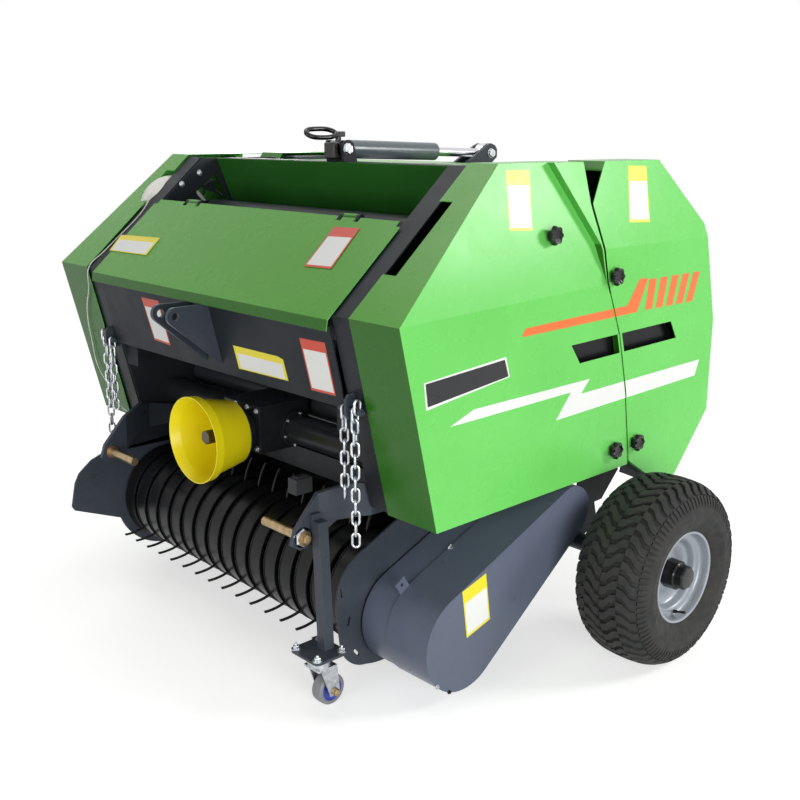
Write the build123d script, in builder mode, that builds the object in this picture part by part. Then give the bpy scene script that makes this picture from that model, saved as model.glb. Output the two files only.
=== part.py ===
"""A small three-point mounted round baler: chamber of rollers, opening tailgate, tined pickup, drive line and wheels."""
import os
from math import asin, atan2, cos, degrees, hypot, pi, radians, sin, tan

from build123d import *

os.makedirs("parts", exist_ok=True)

# ---------------------------------------------------------------- driving sizes (mm)
# +Z is up, +X is the machine's left, -Y is the travel direction. Profile points are
# (distance behind the nose line, height above the ground).
FRONT_REACH = 130.0        # how far the pickup's right end plate stands in front of the nose
BODY_LENGTH = 1142.0       # nose line to the back of the tailgate covers
NOSE_Y = -(BODY_LENGTH - FRONT_REACH) / 2

CHAMBER_WIDTH = 1000.0     # between the chamber side plates, the bale's width
PLATE = 6.0                # chamber side plates
SHEET = 2.0                # covers, hood and panels
FLANGE_DEPTH = 62.0        # side plate to the inner edge of the covers' front band
BAND_DEPTH = 152.0         # front band of a side cover, along X
TOP_Z = 1178.0             # top edge of the covers
NOSE_Z = 876.0             # the nose, where bevel and front meet
COVER_BOTTOM = 432.0       # lower edge of the front cover
SIDE_IN = CHAMBER_WIDTH / 2
SIDE_OUT = SIDE_IN + PLATE
FLANGE_HALF = SIDE_OUT + FLANGE_DEPTH
COVER_HALF = FLANGE_HALF + BAND_DEPTH
FRAME_TOP = TOP_Z - 10
RUN_GAP = 3.0              # half the gap along the seam between body and tailgate
SEAT = 0.3                 # clearance where a loose piece sits on its carrier
RUNNING_FIT = 0.05         # radial play of a pin in its bore

PIVOT = (620.0, TOP_Z - 94)   # tailgate hinge
CHAMBER_CENTRE = (640.0, 742.0)
ROLLER_RING = 375.0        # radius on which the roller axes lie
ROLLER_R = 38.0
ROLLER_SHAFT_R = 15.0

TYRE_R = 228.0
TYRE_WIDTH = 192.0
TYRE_GAP = 62.0            # side cover to the tyre's inner wall
WHEEL_CENTRE = (696.0, TYRE_R)
WHEEL_X = COVER_HALF + TYRE_GAP + TYRE_WIDTH / 2
RIM_R = 106.0
AXLE_R = 22.0

PICKUP_AXIS = (172.0, 200.0)
PICKUP_END = SIDE_IN - PLATE  # inner face of the pickup's end plates
TINE_TIP_R = 196.0
TINE_PITCH = 62.0
TINE_COUNT = int((2 * PICKUP_END - 40) // TINE_PITCH)
BAND_R = 138.0
BAND_GAP = 16.0            # slot between two stripper bands, where a tine runs

DRIVE_Y, DRIVE_Z = 225.0, 500.0   # cross shaft; the input shaft is at the same height
TUBE_R = 37.0
LINK_X, LINK_PIN = SIDE_IN - 64, (-32.0, 374.0)
TOP_LINK_PIN = (-84.0, 821.0)

CYLINDER_X = 25.0
CYLINDER_BASE = (430.0, FRAME_TOP + 32)
CYLINDER_EYE = (983.0, FRAME_TOP + 15)

LEFT, RIGHT = 1, -1
SIDES = (("left", LEFT), ("right", RIGHT))


def side_plane(x):
    """Plane whose x is the distance behind the nose, y the height, and normal +X."""
    return Plane(origin=(x, NOSE_Y, 0), x_dir=(0, 1, 0), z_dir=(1, 0, 0))


def front_plane(behind):
    """Plane facing forward at a distance behind the nose; x is X and y is the height."""
    return Plane(origin=(0, NOSE_Y + behind, 0), x_dir=(1, 0, 0), z_dir=(0, -1, 0))


def floor_plane(height):
    """Level plane; x is X and y is the distance behind the nose."""
    return Plane(origin=(0, NOSE_Y, height), x_dir=(1, 0, 0), z_dir=(0, 0, 1))


def slab(outline, x_from, x_to):
    """Plate or block with the outline, a list of profile points, between two X planes."""
    with BuildPart() as block:
        with BuildSketch(side_plane(x_from)):
            with BuildLine():
                Polyline(*outline, close=True)
            make_face()
        extrude(amount=x_to - x_from)
    return block.part


def rod(centre, radius, x_from, x_to):
    """Cylinder along X round a profile point."""
    with BuildPart() as bar:
        with BuildSketch(side_plane(x_from)):
            with Locations(centre):
                Circle(radius)
        extrude(amount=x_to - x_from)
    return bar.part


def box(x, behind, height):
    """Box from its ranges in X, behind the nose and up."""
    with BuildPart() as block:
        with BuildSketch(floor_plane(height[0])):
            with Locations(((x[0] + x[1]) / 2, (behind[0] + behind[1]) / 2)):
                Rectangle(x[1] - x[0], behind[1] - behind[0])
        extrude(amount=height[1] - height[0])
    return block.part


def offset_run(points, distance):
    """Mitred offset of an open path to the right of its run, or to the left if negative."""
    normals = []
    for (y0, z0), (y1, z1) in zip(points, points[1:]):
        run = hypot(y1 - y0, z1 - z0)
        normals.append(((z1 - z0) / run, (y0 - y1) / run))
    moved = []
    for point, before, after in zip(points, normals[:1] + normals, normals + normals[-1:]):
        reach = distance / (1 + before[0] * after[0] + before[1] * after[1])
        moved.append((point[0] + reach * (before[0] + after[0]), point[1] + reach * (before[1] + after[1])))
    return moved


def sheet_path(points, thickness, x_from, x_to):
    """Folded sheet with the path as one face, extruded along X."""
    return slab(points + offset_run(points, thickness)[::-1], x_from, x_to)


def shift(points, dy, dz=0.0):
    """Profile points moved by dy behind and dz up."""
    return [(y + dy, z + dz) for y, z in points]


def finish(name, part, side=LEFT):
    """Label a finished piece, mirrored for the right side, and write its STEP file."""
    if side == RIGHT:
        part = mirror(part, about=Plane.YZ, mode=Mode.PRIVATE)
    part.label = name
    export_step(part, f"parts/{name}.step")
    print(f"{name:30s} solids {len(part.solids())}  volume {part.volume / 1000:10.1f} cm3")


# ---------------------------------------------------------------- outline of the covers
TOP_FRONT = (346.0, TOP_Z)
NOSE = (0.0, NOSE_Z)
CHIN = (107.5, 426.0)
SEAM = [PIVOT, (665.0, 903.0), (722.0, 768.0), (755.0, 640.0), (786.0, 440.0)]
V_FRONT, V_REAR = (614.0, TOP_Z), (688.0, TOP_Z)
JOGGLE = [(506.0, TOP_Z), (634.0, 993.0), (659.0, 903.0)]
REAR = [(875.0, 385.0), (1003.0, 356.0), (BODY_LENGTH, 513.0), (BODY_LENGTH, 761.0), (BODY_LENGTH - 64, 1016.0),
        (911.0, TOP_Z)]
FOLD_REAR_Z = 981.0        # height where the rear cover starts to lean inward
LEAN = 0.2277              # inward lean of the upper cover panels, X per Z
LEAN_FRONT = Plane(origin=(COVER_HALF, NOSE_Y, NOSE_Z), z_dir=(1, -0.008, LEAN))
LEAN_REAR = Plane(origin=(COVER_HALF, NOSE_Y, FOLD_REAR_Z), z_dir=(1, 0, LEAN))


def leaning_slab(outline, x_from, x_to, lean, inset=0.0):
    """Slab whose outer side is cut by a leaning plane, moved inward by the inset."""
    with BuildPart() as block:
        add(slab(outline, x_from, x_to))
        split(bisect_by=lean.offset(-inset), keep=Keep.BOTTOM)
    return block.part


def side_cover(regions, inner_regions, slot):
    """Folded sheet cover, open towards the machine, from outer and inner slabs."""
    with BuildPart() as cover:
        for outline, lean in regions:
            add(leaning_slab(outline, FLANGE_HALF, COVER_HALF, lean))
        for outline, lean in inner_regions:
            add(leaning_slab(outline, FLANGE_HALF - 1, COVER_HALF - SHEET, lean, SHEET), mode=Mode.SUBTRACT)
        add(slab(slot, FLANGE_HALF - 1, COVER_HALF + 1), mode=Mode.SUBTRACT)
    return cover.part


seam_front = shift(SEAM, -RUN_GAP)
seam_rear = shift(SEAM, RUN_GAP)
SLOT = [(537.0, 770.0), (940.0, 778.0), (968.0, 732.0), (571.0, 723.0)]
slot_front = [SLOT[0], (722.0 - 9, 773.5), (735.0 - 9, 726.5), SLOT[3]]
slot_rear = [(722.0 + 9, 773.9), SLOT[1], SLOT[2], (735.0 + 9, 727.0)]

front_outer = [
    ([TOP_FRONT, NOSE, CHIN, (seam_front[4][0], COVER_BOTTOM)] + seam_front[:0:-1] + JOGGLE[::-1], LEAN_FRONT),
    (JOGGLE + seam_front[1::-1] + [(V_FRONT[0] - RUN_GAP, TOP_Z)], LEAN_REAR),
]
# the trays' inner outlines: the walled edges moved in by the sheet, open along seam, joggle and notch
joggle_back = shift(JOGGLE, 1.5 * SHEET)
front_walls = [joggle_back[0], TOP_FRONT, NOSE, CHIN, (820.0, COVER_BOTTOM)]
front_inner = [
    (offset_run(front_walls, -SHEET) + [(820.0, 640.0), (700.0, 890.0)] + joggle_back[:0:-1], LEAN_FRONT),
    ([(joggle_back[0][0] + 1, TOP_Z - SHEET)] + joggle_back[1:] + [(700.0, 900.0), (700.0, TOP_Z - SHEET)], LEAN_REAR),
]
rear_outer = [
    (seam_rear[1:] + REAR + [(V_REAR[0] + RUN_GAP, TOP_Z), (PIVOT[0] + RUN_GAP + 2, PIVOT[1])], LEAN_REAR),
]
rear_walls = seam_rear[-1:] + REAR + [(V_REAR[0] + RUN_GAP, TOP_Z)]
rear_inner = [
    (offset_run(rear_walls, -SHEET) + [(PIVOT[0], PIVOT[1]), (600.0, 1000.0), (640.0, 600.0), (700.0, 440.0)], LEAN_REAR),
]
BEVEL = (TOP_Z - NOSE_Z) / TOP_FRONT[0]
BEVEL_ANGLE = atan2(TOP_Z - NOSE_Z, TOP_FRONT[0])
NOTCH_DEPTH = 40.0         # hand notch in the front band's bevel, from its inner edge
NOTCHES = {"left": (94.0, 257.0), "right": (199.0, 294.0)}


def bevel_point(behind, depth):
    """Profile point at a depth square to the bevel, inward from the point at that distance behind."""
    return (behind + depth * sin(BEVEL_ANGLE), NOSE_Z + behind * BEVEL - depth * cos(BEVEL_ANGLE))


def notched(cover, ends):
    """Cover with the notch cut into its bevel between two distances behind the nose."""
    with BuildPart() as cut:
        add(cover)
        add(slab([bevel_point(ends[0], -5), bevel_point(ends[0], 12), bevel_point(ends[1], 12), bevel_point(ends[1], -5)],
                 FLANGE_HALF - 1, FLANGE_HALF + NOTCH_DEPTH), mode=Mode.SUBTRACT)
    return cut.part


STUD_R = 6.0
KNOB_R = 25.0
# cover: (behind the nose, height) of its two fastening knobs
KNOBS = {"front": [(482.0, 1022.0), (716.0, 485.0)], "rear": [(684.0, 916.0), (807.0, 487.0)]}


def cover_face(behind, height, body):
    """X of a cover's outer face at a profile point."""
    if body == "front":
        return min(COVER_HALF, COVER_HALF + 0.008 * behind - LEAN * (height - NOSE_Z))
    return min(COVER_HALF, COVER_HALF - LEAN * (height - FOLD_REAR_Z))


def knob(centre, face):
    """Star knob on its stud, which stands on the side plate and passes through the cover."""
    with BuildPart() as piece:
        add(rod(centre, STUD_R, SIDE_OUT + SEAT, face + 20))
        add(rod(centre, 13.0, face + SEAT, face + 10))
        with BuildSketch(side_plane(face + 8)):
            with Locations(centre):
                Circle(KNOB_R - 6)
                with PolarLocations(KNOB_R - 8, 6):
                    Circle(8.0)
        extrude(amount=18)
    return piece.part


knobs = {}
for body, regions, inner_regions, slot in (("front", front_outer, front_inner, slot_front),
                                           ("rear", rear_outer, rear_inner, slot_rear)):
    cover = side_cover(regions, inner_regions, slot)
    with BuildPart() as drilled:
        add(cover)
        for centre in KNOBS[body]:
            add(rod(centre, STUD_R + SEAT, COVER_HALF - 90, COVER_HALF + 1), mode=Mode.SUBTRACT)
    with BuildPart() as knob_pair:
        for behind, height in KNOBS[body]:
            add(knob((behind, height), cover_face(behind, height - 13, body)))
    knobs[body] = knob_pair.part
    for name, side in SIDES:
        finish(f"{body}_cover_{name}", notched(drilled.part, NOTCHES[name]) if body == "front" else drilled.part, side)
    with BuildPart() as both_sides:
        add(knobs[body])
        mirror(about=Plane.YZ)
    finish(f"{body}_cover_knobs", both_sides.part)

# ---------------------------------------------------------------- chamber side plates and frame
PLATE_INSET = TOP_Z - FRAME_TOP   # the plates' edges lie this far inside the covers' outline
BOSS_R = 34.0
plate_nose = offset_run([JOGGLE[0], TOP_FRONT, NOSE, CHIN], -PLATE_INSET)[1:]
plate_front_outline = plate_nose + [
    (180.0, 400.0), (330.0, 400.0), (500.0, 330.0), (770.0, 330.0), (seam_front[4][0], 440.0),
] + seam_front[3:0:-1] + [(PIVOT[0] - RUN_GAP, PIVOT[1]), (V_FRONT[0] - RUN_GAP, FRAME_TOP)]
FLANGE, FLANGE_OUT = 4.0, FLANGE_HALF - 2
STRAP = 10.0               # hinge strap on the tailgate's side plate
SPINDLE_R = 12.0
with BuildPart() as side_plate:
    add(slab(plate_front_outline, SIDE_IN, SIDE_OUT))
    add(rod(PIVOT, BOSS_R, SIDE_IN, SIDE_OUT))
    add(sheet_path(plate_nose, FLANGE, SIDE_OUT - 1, FLANGE_OUT))
    add(rod(PIVOT, SPINDLE_R, SIDE_OUT, SIDE_OUT + STRAP + 1))
    add(rod(PIVOT, SPINDLE_R + 8, SIDE_OUT + STRAP + 1, SIDE_OUT + STRAP + 9))
gate_edge = offset_run(seam_rear[-1:] + REAR + [(V_REAR[0] + 6, TOP_Z)], -PLATE_INSET)[1:]
gate_outline = seam_rear[1:] + gate_edge + [(PIVOT[0] + 8, PIVOT[1])]
with BuildPart() as gate_plate:
    add(slab(gate_outline, SIDE_IN, SIDE_OUT))
    add(rod(PIVOT, BOSS_R + 8, SIDE_IN - 1, SIDE_OUT + 1), mode=Mode.SUBTRACT)
    add(slab(shift([(0, -26), (180, -44), (180, 16), (0, 26)], *PIVOT), SIDE_OUT, SIDE_OUT + STRAP))
    add(rod(PIVOT, 26.0, SIDE_OUT, SIDE_OUT + STRAP))
    add(rod(PIVOT, BOSS_R + 8, SIDE_OUT - 0.1, SIDE_OUT + 2), mode=Mode.SUBTRACT)
    add(rod(PIVOT, SPINDLE_R + RUNNING_FIT, SIDE_OUT, SIDE_OUT + STRAP + 1), mode=Mode.SUBTRACT)
    add(sheet_path(gate_edge[::-1], FLANGE, SIDE_OUT - 1, FLANGE_OUT))
TWINE_WINDOW = [(396.0, PIVOT[1] + 42), (322.0, PIVOT[1] - 12), (345.0, PIVOT[1] - 38), (438.0, PIVOT[1] - 38)]
with BuildPart() as windowed_plate:
    add(side_plate.part)
    with BuildSketch(side_plane(SIDE_IN - 1)):
        with BuildLine():
            FilletPolyline(*TWINE_WINDOW, radius=6.0, close=True)
        make_face()
    extrude(amount=PLATE + 2, mode=Mode.SUBTRACT)
finish("side_plate_left", side_plate.part)
finish("side_plate_right", windowed_plate.part, RIGHT)
for name, side in SIDES:
    finish(f"gate_side_plate_{name}", gate_plate.part, side)

# ---------------------------------------------------------------- rollers
# angle round the chamber centre from straight back, counter-clockwise seen from the left
FRONT_ROLLERS = (108, 134, 160, 186, 212, 256, 282)
GATE_ROLLERS = (-50, -24, 2, 28, 54, 78)


def roller(angle):
    """Bale roller with its stub shafts, carried between the side plates."""
    centre = (CHAMBER_CENTRE[0] + ROLLER_RING * cos(radians(angle)),
              CHAMBER_CENTRE[1] + ROLLER_RING * sin(radians(angle)))
    with BuildPart() as drum:
        add(rod(centre, ROLLER_R, -SIDE_IN + 8, SIDE_IN - 8))
        add(rod(centre, ROLLER_SHAFT_R, -SIDE_IN + SEAT, SIDE_IN - SEAT))
    return drum.part


for body, angles in (("front", FRONT_ROLLERS), ("gate", GATE_ROLLERS)):
    for number, angle in enumerate(angles, 1):
        finish(f"{body}_roller_{number}", roller(angle))

# ---------------------------------------------------------------- hood, walls and beams
HOOD_HALF = SIDE_IN + 12
hood_back = (206.0, NOSE_Z + 206.0 * BEVEL)
HOOD_HINGE = (hood_back[0] + 8.0, hood_back[1] - 2.0)
hood_crease = (-10.0, NOSE_Z - 10.0 * BEVEL)
hood_lip = (-14.0, hood_crease[1] - 24.0)
HOOD_TABS = (170 - SIDE_IN, SIDE_IN - 170)

HINGE_R, KNUCKLE_R, KNUCKLE_HALF = 5.0, 9.0, 22.0
EAR = 10.0                 # width of each hinge ear on the rail
HOOD_RELIEF = 12.0         # corner relief beside the side plates, so that the open hood clears them
with BuildPart() as hood:
    add(sheet_path([hood_back, hood_crease, hood_lip], -SHEET, -HOOD_HALF, HOOD_HALF))
    for x in HOOD_TABS:
        add(box((x - KNUCKLE_HALF - EAR - 8, x + KNUCKLE_HALF + EAR + 8), (hood_back[0] - 10, hood_back[0] + 4),
                (hood_back[1] - 30, hood_back[1] + 10)), mode=Mode.SUBTRACT)
        leaf = (hood_back[0] - 28, hood_back[1] - 28 * BEVEL)
        add(slab([(leaf[0], leaf[1] - 1), (leaf[0], leaf[1] - 5), (HOOD_HINGE[0], HOOD_HINGE[1] + 3),
                  (HOOD_HINGE[0], HOOD_HINGE[1] + 8)], x - KNUCKLE_HALF, x + KNUCKLE_HALF))
        add(rod(HOOD_HINGE, KNUCKLE_R, x - KNUCKLE_HALF, x + KNUCKLE_HALF))
        add(rod(HOOD_HINGE, HINGE_R + RUNNING_FIT, x - KNUCKLE_HALF, x + KNUCKLE_HALF), mode=Mode.SUBTRACT)
    for side in (LEFT, RIGHT):
        near, far = sorted((side * (SIDE_IN - 3), side * (HOOD_HALF + 1)))
        add(box((near, far), (hood_back[0] - HOOD_RELIEF, hood_back[0] + 4), (hood_back[1] - 30, hood_back[1] + 10)),
            mode=Mode.SUBTRACT)
finish("hood", hood.part)

with BuildPart() as hood_rail:
    for x in HOOD_TABS:
        add(rod(HOOD_HINGE, HINGE_R, x - KNUCKLE_HALF - EAR, x + KNUCKLE_HALF + EAR))
        for near in (x - KNUCKLE_HALF - EAR - 2, x + KNUCKLE_HALF + 2):
            add(rod(HOOD_HINGE, KNUCKLE_R, near, near + EAR))
            add(slab(shift([(-9, -20), (9, -20), (9, 0), (-9, 0)], *HOOD_HINGE), near, near + EAR))
    add(slab(shift([(-9, -50), (15, -50), (15, -18), (-9, -18)], *HOOD_HINGE), -SIDE_IN, SIDE_IN))
finish("hood_rail", hood_rail.part)

WALL_TOP, WALL_FOOT = (400.0, FRAME_TOP - 1), (455.0, FRAME_TOP - 137)
finish("inner_wall", sheet_path([WALL_FOOT, WALL_TOP], SHEET, -SIDE_IN, SIDE_IN))

PANEL_TOP, PANEL_FOOT = (8.0, 846.0), (50.0, 669.0)
PANEL = 4.0
panel_run = [(PANEL_TOP[0] + 62, PANEL_TOP[1] + 4), PANEL_TOP, PANEL_FOOT, (PANEL_FOOT[0] + 60, PANEL_FOOT[1])]
finish("front_panel", sheet_path(panel_run, PANEL, -SIDE_IN, SIDE_IN))


def panel_face(height):
    """How far behind the nose the front panel's outer face lies at a height."""
    fall = (PANEL_FOOT[0] - PANEL_TOP[0]) / (PANEL_TOP[1] - PANEL_FOOT[1])
    return PANEL_TOP[0] + fall * (PANEL_TOP[1] - height) - PANEL * hypot(1, fall)


BASE_PIN_R = 10.0
TOP_BEAM_DEPTH = 52.0
wall_slope = (WALL_FOOT[0] - WALL_TOP[0]) / (WALL_TOP[1] - WALL_FOOT[1])
TOP_BEAM_Y = WALL_TOP[0] + TOP_BEAM_DEPTH * wall_slope + SHEET * hypot(1, wall_slope) + SEAT
with BuildPart() as top_beam:
    add(box((-SIDE_IN, SIDE_IN), (TOP_BEAM_Y, TOP_BEAM_Y + 50), (FRAME_TOP - TOP_BEAM_DEPTH, FRAME_TOP)))
    for x in (CYLINDER_X - 36, CYLINDER_X + 26):
        add(slab(shift([(-12, -32), (32, -32), (20, 14), (10, 22), (-12, 22), (-20, 10)], *CYLINDER_BASE), x, x + 10))
    add(rod(CYLINDER_BASE, BASE_PIN_R, CYLINDER_X - 42, CYLINDER_X + 42))
finish("top_beam", top_beam.part)

LOWER_BEAM_Y, LOWER_BEAM_Z = (232.0, 296.0), (392.0, 450.0)
finish("lower_beam", box((-SIDE_IN, SIDE_IN), LOWER_BEAM_Y, LOWER_BEAM_Z))

# ---------------------------------------------------------------- drive line
GEARBOX_HALF = 78.0
SHAFT_R, GUARD_BACK = 17.4, 88.0
TUBE_FLANGE_R = 46.0
with BuildPart() as gearbox:
    add(box((-GEARBOX_HALF, GEARBOX_HALF), (118.0, 272.0), (LOWER_BEAM_Z[1] + SEAT, DRIVE_Z + 72)))
    with BuildSketch(front_plane(118.0)):
        with Locations((0, DRIVE_Z)):
            Circle(56.0)
    extrude(amount=118 - GUARD_BACK)
    with BuildSketch(front_plane(GUARD_BACK)):
        with Locations((0, DRIVE_Z)):
            Circle(SHAFT_R + SEAT)
    extrude(amount=-60, mode=Mode.SUBTRACT)
finish("gearbox", gearbox.part)

with BuildPart() as cross_tube:
    for side in (LEFT, RIGHT):
        near, far = sorted((side * (GEARBOX_HALF + 14), side * SIDE_IN))
        add(rod((DRIVE_Y, DRIVE_Z), TUBE_R, near, far))
        near, far = sorted((side * GEARBOX_HALF, side * (GEARBOX_HALF + 14)))
        add(rod((DRIVE_Y, DRIVE_Z), TUBE_FLANGE_R, near, far))
finish("cross_tube", cross_tube.part)

with BuildPart() as pto_shaft:
    with BuildSketch(front_plane(146.0)):
        with Locations((0, DRIVE_Z)):
            Circle(SHAFT_R)
            with PolarLocations(SHAFT_R, 6):
                Rectangle(3.0, 8.6, mode=Mode.SUBTRACT)
    extrude(amount=140.0)
finish("pto_shaft", pto_shaft.part)

RIM_Y, GUARD_RIM_R, GUARD_TAIL_R, GUARD_WALL = -31.0, 110.0, 82.0, 3.0
with BuildPart() as pto_guard:
    with BuildSketch(Plane.YZ):
        with BuildLine():
            Polyline((NOSE_Y + RIM_Y, GUARD_RIM_R - GUARD_WALL), (NOSE_Y + RIM_Y, GUARD_RIM_R),
                     (NOSE_Y - 8, GUARD_RIM_R - 2), (NOSE_Y - 6, GUARD_RIM_R - 9),
                     (NOSE_Y + GUARD_BACK, GUARD_TAIL_R), (NOSE_Y + GUARD_BACK, 30.0),
                     (NOSE_Y + GUARD_BACK - GUARD_WALL, 30.0), (NOSE_Y + GUARD_BACK - GUARD_WALL, GUARD_TAIL_R - GUARD_WALL),
                     (NOSE_Y - 6, GUARD_RIM_R - 9 - GUARD_WALL), close=True)
        make_face()
    revolve(axis=Axis.Y)
pto_guard_part = pto_guard.part.moved(Location((0, 0, DRIVE_Z)))
finish("pto_guard", pto_guard_part)

# ---------------------------------------------------------------- three-point linkage
TOP_LINK_GAP, TOP_LINK_PLATE = 58.0, 10.0
TOP_LINK_BORE_R, TOP_LINK_EYE_R = 9.75, 22.0
LINK_FOOT_Z = 690.0
link_top = hood_lip[1] - 3 * SEAT   # the plates just clear the hood's lip
link_plate = [(TOP_LINK_PIN[0], TOP_LINK_PIN[1] + TOP_LINK_EYE_R), (panel_face(link_top), link_top),
              (panel_face(LINK_FOOT_Z), LINK_FOOT_Z), (20.0, LINK_FOOT_Z + 15),
              (TOP_LINK_PIN[0] - 0.64 * TOP_LINK_EYE_R, TOP_LINK_PIN[1] - 0.77 * TOP_LINK_EYE_R), TOP_LINK_PIN]
with BuildPart() as top_link_bracket:
    for near in (-TOP_LINK_GAP / 2 - TOP_LINK_PLATE, TOP_LINK_GAP / 2):
        add(slab(link_plate, near, near + TOP_LINK_PLATE))
        add(rod(TOP_LINK_PIN, TOP_LINK_EYE_R, near, near + TOP_LINK_PLATE))
    add(rod(TOP_LINK_PIN, TOP_LINK_BORE_R, -60, 60), mode=Mode.SUBTRACT)
finish("top_link_bracket", top_link_bracket.part)

LINK_PIN_R, LINK_PIN_REACH = 11.0, 136.0
arm_side = [(-62.0, 360.0), (-50.0, 395.0), (14.0, 466.0), (90.0, 484.0), (234.0, 452.0), (234.0, 404.0),
            (110.0, 404.0), (50.0, 400.0), (0.0, 350.0), (-40.0, 345.0)]
arm_out = SIDE_IN - SEAT
with BuildPart() as link_arm:
    with BuildSketch(floor_plane(340.0)):
        with BuildLine():
            Polyline((LINK_X - 6, -66), (LINK_X + 6, -66), (LINK_X + 6, 14), (arm_out, 120), (arm_out, 232),
                     (arm_out - 12, 232), (arm_out - 12, 124), (LINK_X - 6, 18), close=True)
        make_face()
    extrude(amount=150)
    add(slab(arm_side, LINK_X - 36, SIDE_IN + 20), mode=Mode.INTERSECT)
    add(rod(LINK_PIN, LINK_PIN_R + RUNNING_FIT, LINK_X - 36, LINK_X + 24), mode=Mode.SUBTRACT)
with BuildPart() as link_pin:
    add(rod(LINK_PIN, LINK_PIN_R, LINK_X - LINK_PIN_REACH, LINK_X + 18))
    add(rod(LINK_PIN, 17.0, LINK_X + 6, LINK_X + 16))
    add(rod(LINK_PIN, 17.0, LINK_X - 12, LINK_X - 6))
    mirror(about=Plane.YZ)
for name, side in SIDES:
    finish(f"link_arm_{name}", link_arm.part, side)
finish("link_pins", link_pin.part)

# ---------------------------------------------------------------- pickup
BAND_WIDTH = TINE_PITCH - BAND_GAP


def band(x):
    """Stripper band: a strip bent round the reel, with its edges turned inwards."""
    with BuildPart() as strip:
        for x_from, x_to, depth in ((x - BAND_WIDTH / 2, x + BAND_WIDTH / 2, 2.5),
                                    (x - BAND_WIDTH / 2, x - BAND_WIDTH / 2 + 2, 11.0),
                                    (x + BAND_WIDTH / 2 - 2, x + BAND_WIDTH / 2, 11.0)):
            with BuildSketch(side_plane(x_from)):
                for radius, mode in ((BAND_R, Mode.ADD), (BAND_R - depth, Mode.SUBTRACT)):
                    y, z = PICKUP_AXIS
                    with BuildLine():
                        arc = ThreePointArc((y + 0.2 * radius, z + 0.98 * radius), (y - radius, z),
                                            (y + 0.2 * radius, z - 0.98 * radius))
                        foot = Line(arc @ 1, (PICKUP_TAIL, z - 0.93 * radius))
                        rise = Line(foot @ 1, (PICKUP_TAIL, z + 1.16 * radius))
                        Line(rise @ 1, arc @ 0)
                    make_face(mode=mode)
            extrude(amount=x_to - x_from)
        add(box((x - 40, x + 40), (PICKUP_TAIL - 12.0, PICKUP_TAIL + 30), (0, 500)), mode=Mode.SUBTRACT)
    return strip.part


PICKUP_TAIL = 322.0
with BuildPart() as strippers:
    for index in range(TINE_COUNT + 1):
        add(band((index - TINE_COUNT / 2) * TINE_PITCH))
    add(box((-PICKUP_END + SEAT, PICKUP_END - SEAT), (PICKUP_TAIL - 13.0, PICKUP_TAIL - 7), (PICKUP_AXIS[1] + 146, PICKUP_AXIS[1] + 176)))
    add(box((-PICKUP_END + SEAT, PICKUP_END - SEAT), (PICKUP_TAIL - 13.0, PICKUP_TAIL - 7), (PICKUP_AXIS[1] - 134, PICKUP_AXIS[1] - 104)))
finish("pickup_strippers", strippers.part)

TINE_ROWS = (206, 326, 86)
REEL_R = 78.0


def tine(x, angle):
    """Curved spring tine from its bar to the tip circle."""
    y, z = PICKUP_AXIS

    def at(radius, turn):
        return (y + radius * cos(radians(turn)), z + radius * sin(radians(turn)))

    with BuildPart() as wire:
        with BuildSketch(side_plane(x - 2.5)):
            with BuildLine():
                front = ThreePointArc(at(REEL_R, angle + 14), at(138, angle + 9), at(TINE_TIP_R, angle))
                Line(front @ 1, at(TINE_TIP_R - 1, angle - 1.6))
                back = ThreePointArc(at(TINE_TIP_R - 1, angle - 1.6), at(138, angle + 6.8), at(REEL_R, angle + 10.2))
                Line(back @ 1, front @ 0)
            make_face()
        extrude(amount=5)
    return wire.part


with BuildPart() as reel:
    add(rod(PICKUP_AXIS, 20.0, -PICKUP_END + 8, PICKUP_END - 8))
    add(rod(PICKUP_AXIS, 12.0, -PICKUP_END + SEAT, PICKUP_END - SEAT))
    for x in (-PICKUP_END + 14, -4, PICKUP_END - 22):
        add(rod(PICKUP_AXIS, 92.0, x, x + 8))
    for angle in TINE_ROWS:
        centre = (PICKUP_AXIS[0] + REEL_R * cos(radians(angle + 12)), PICKUP_AXIS[1] + REEL_R * sin(radians(angle + 12)))
        add(rod(centre, 11.0, -PICKUP_END + 14, PICKUP_END - 14))
        for index in range(TINE_COUNT):
            add(tine((index - (TINE_COUNT - 1) / 2) * TINE_PITCH, angle))
finish("pickup_reel", reel.part)

END_R = 164.0
end_tail = [(172.0, 330.0), (300.0, 388.0), (360.0, 456.0), (400.0, 456.0), (400.0, 330.0), (318.0, 120.0)]
END_PLATE = PLATE - SEAT
# shield slot: (behind the nose, height, heading of its long side)
SHIELD_SLOTS = [(30.0, 241.0, 96.0), (50.0, 165.0, 72.0), (72.0, 80.0, 128.0)]
with BuildPart() as pickup_end_left:
    with BuildSketch(side_plane(PICKUP_END)):
        with BuildLine():
            Polyline((400.0, 330.0), (400.0, 456.0), (360.0, 456.0), (300.0, 418.0), (104.0, 328.0))
            ThreePointArc((104.0, 328.0), (45.0, 292.0), (14.0, 205.0))
            Line((14.0, 205.0), (26.0, 112.0))
            ThreePointArc((26.0, 112.0), (50.0, 64.0), (100.0, 41.0))
            ThreePointArc((100.0, 41.0), (222.0, 44.0), (318.0, 120.0))
            Line((318.0, 120.0), (400.0, 330.0))
        make_face()
        for behind, height, turn in SHIELD_SLOTS:
            with Locations(Location((behind, height), turn)):
                SlotOverall(24.0, 7.0, mode=Mode.SUBTRACT)
    extrude(amount=END_PLATE)
    add(box((PICKUP_END - 1, SIDE_IN), (LOWER_BEAM_Y[0] - SEAT, LOWER_BEAM_Y[1] + SEAT), (LOWER_BEAM_Z[0] - SEAT, 460.0)),
        mode=Mode.SUBTRACT)
finish("pickup_end_left", pickup_end_left.part)
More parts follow.
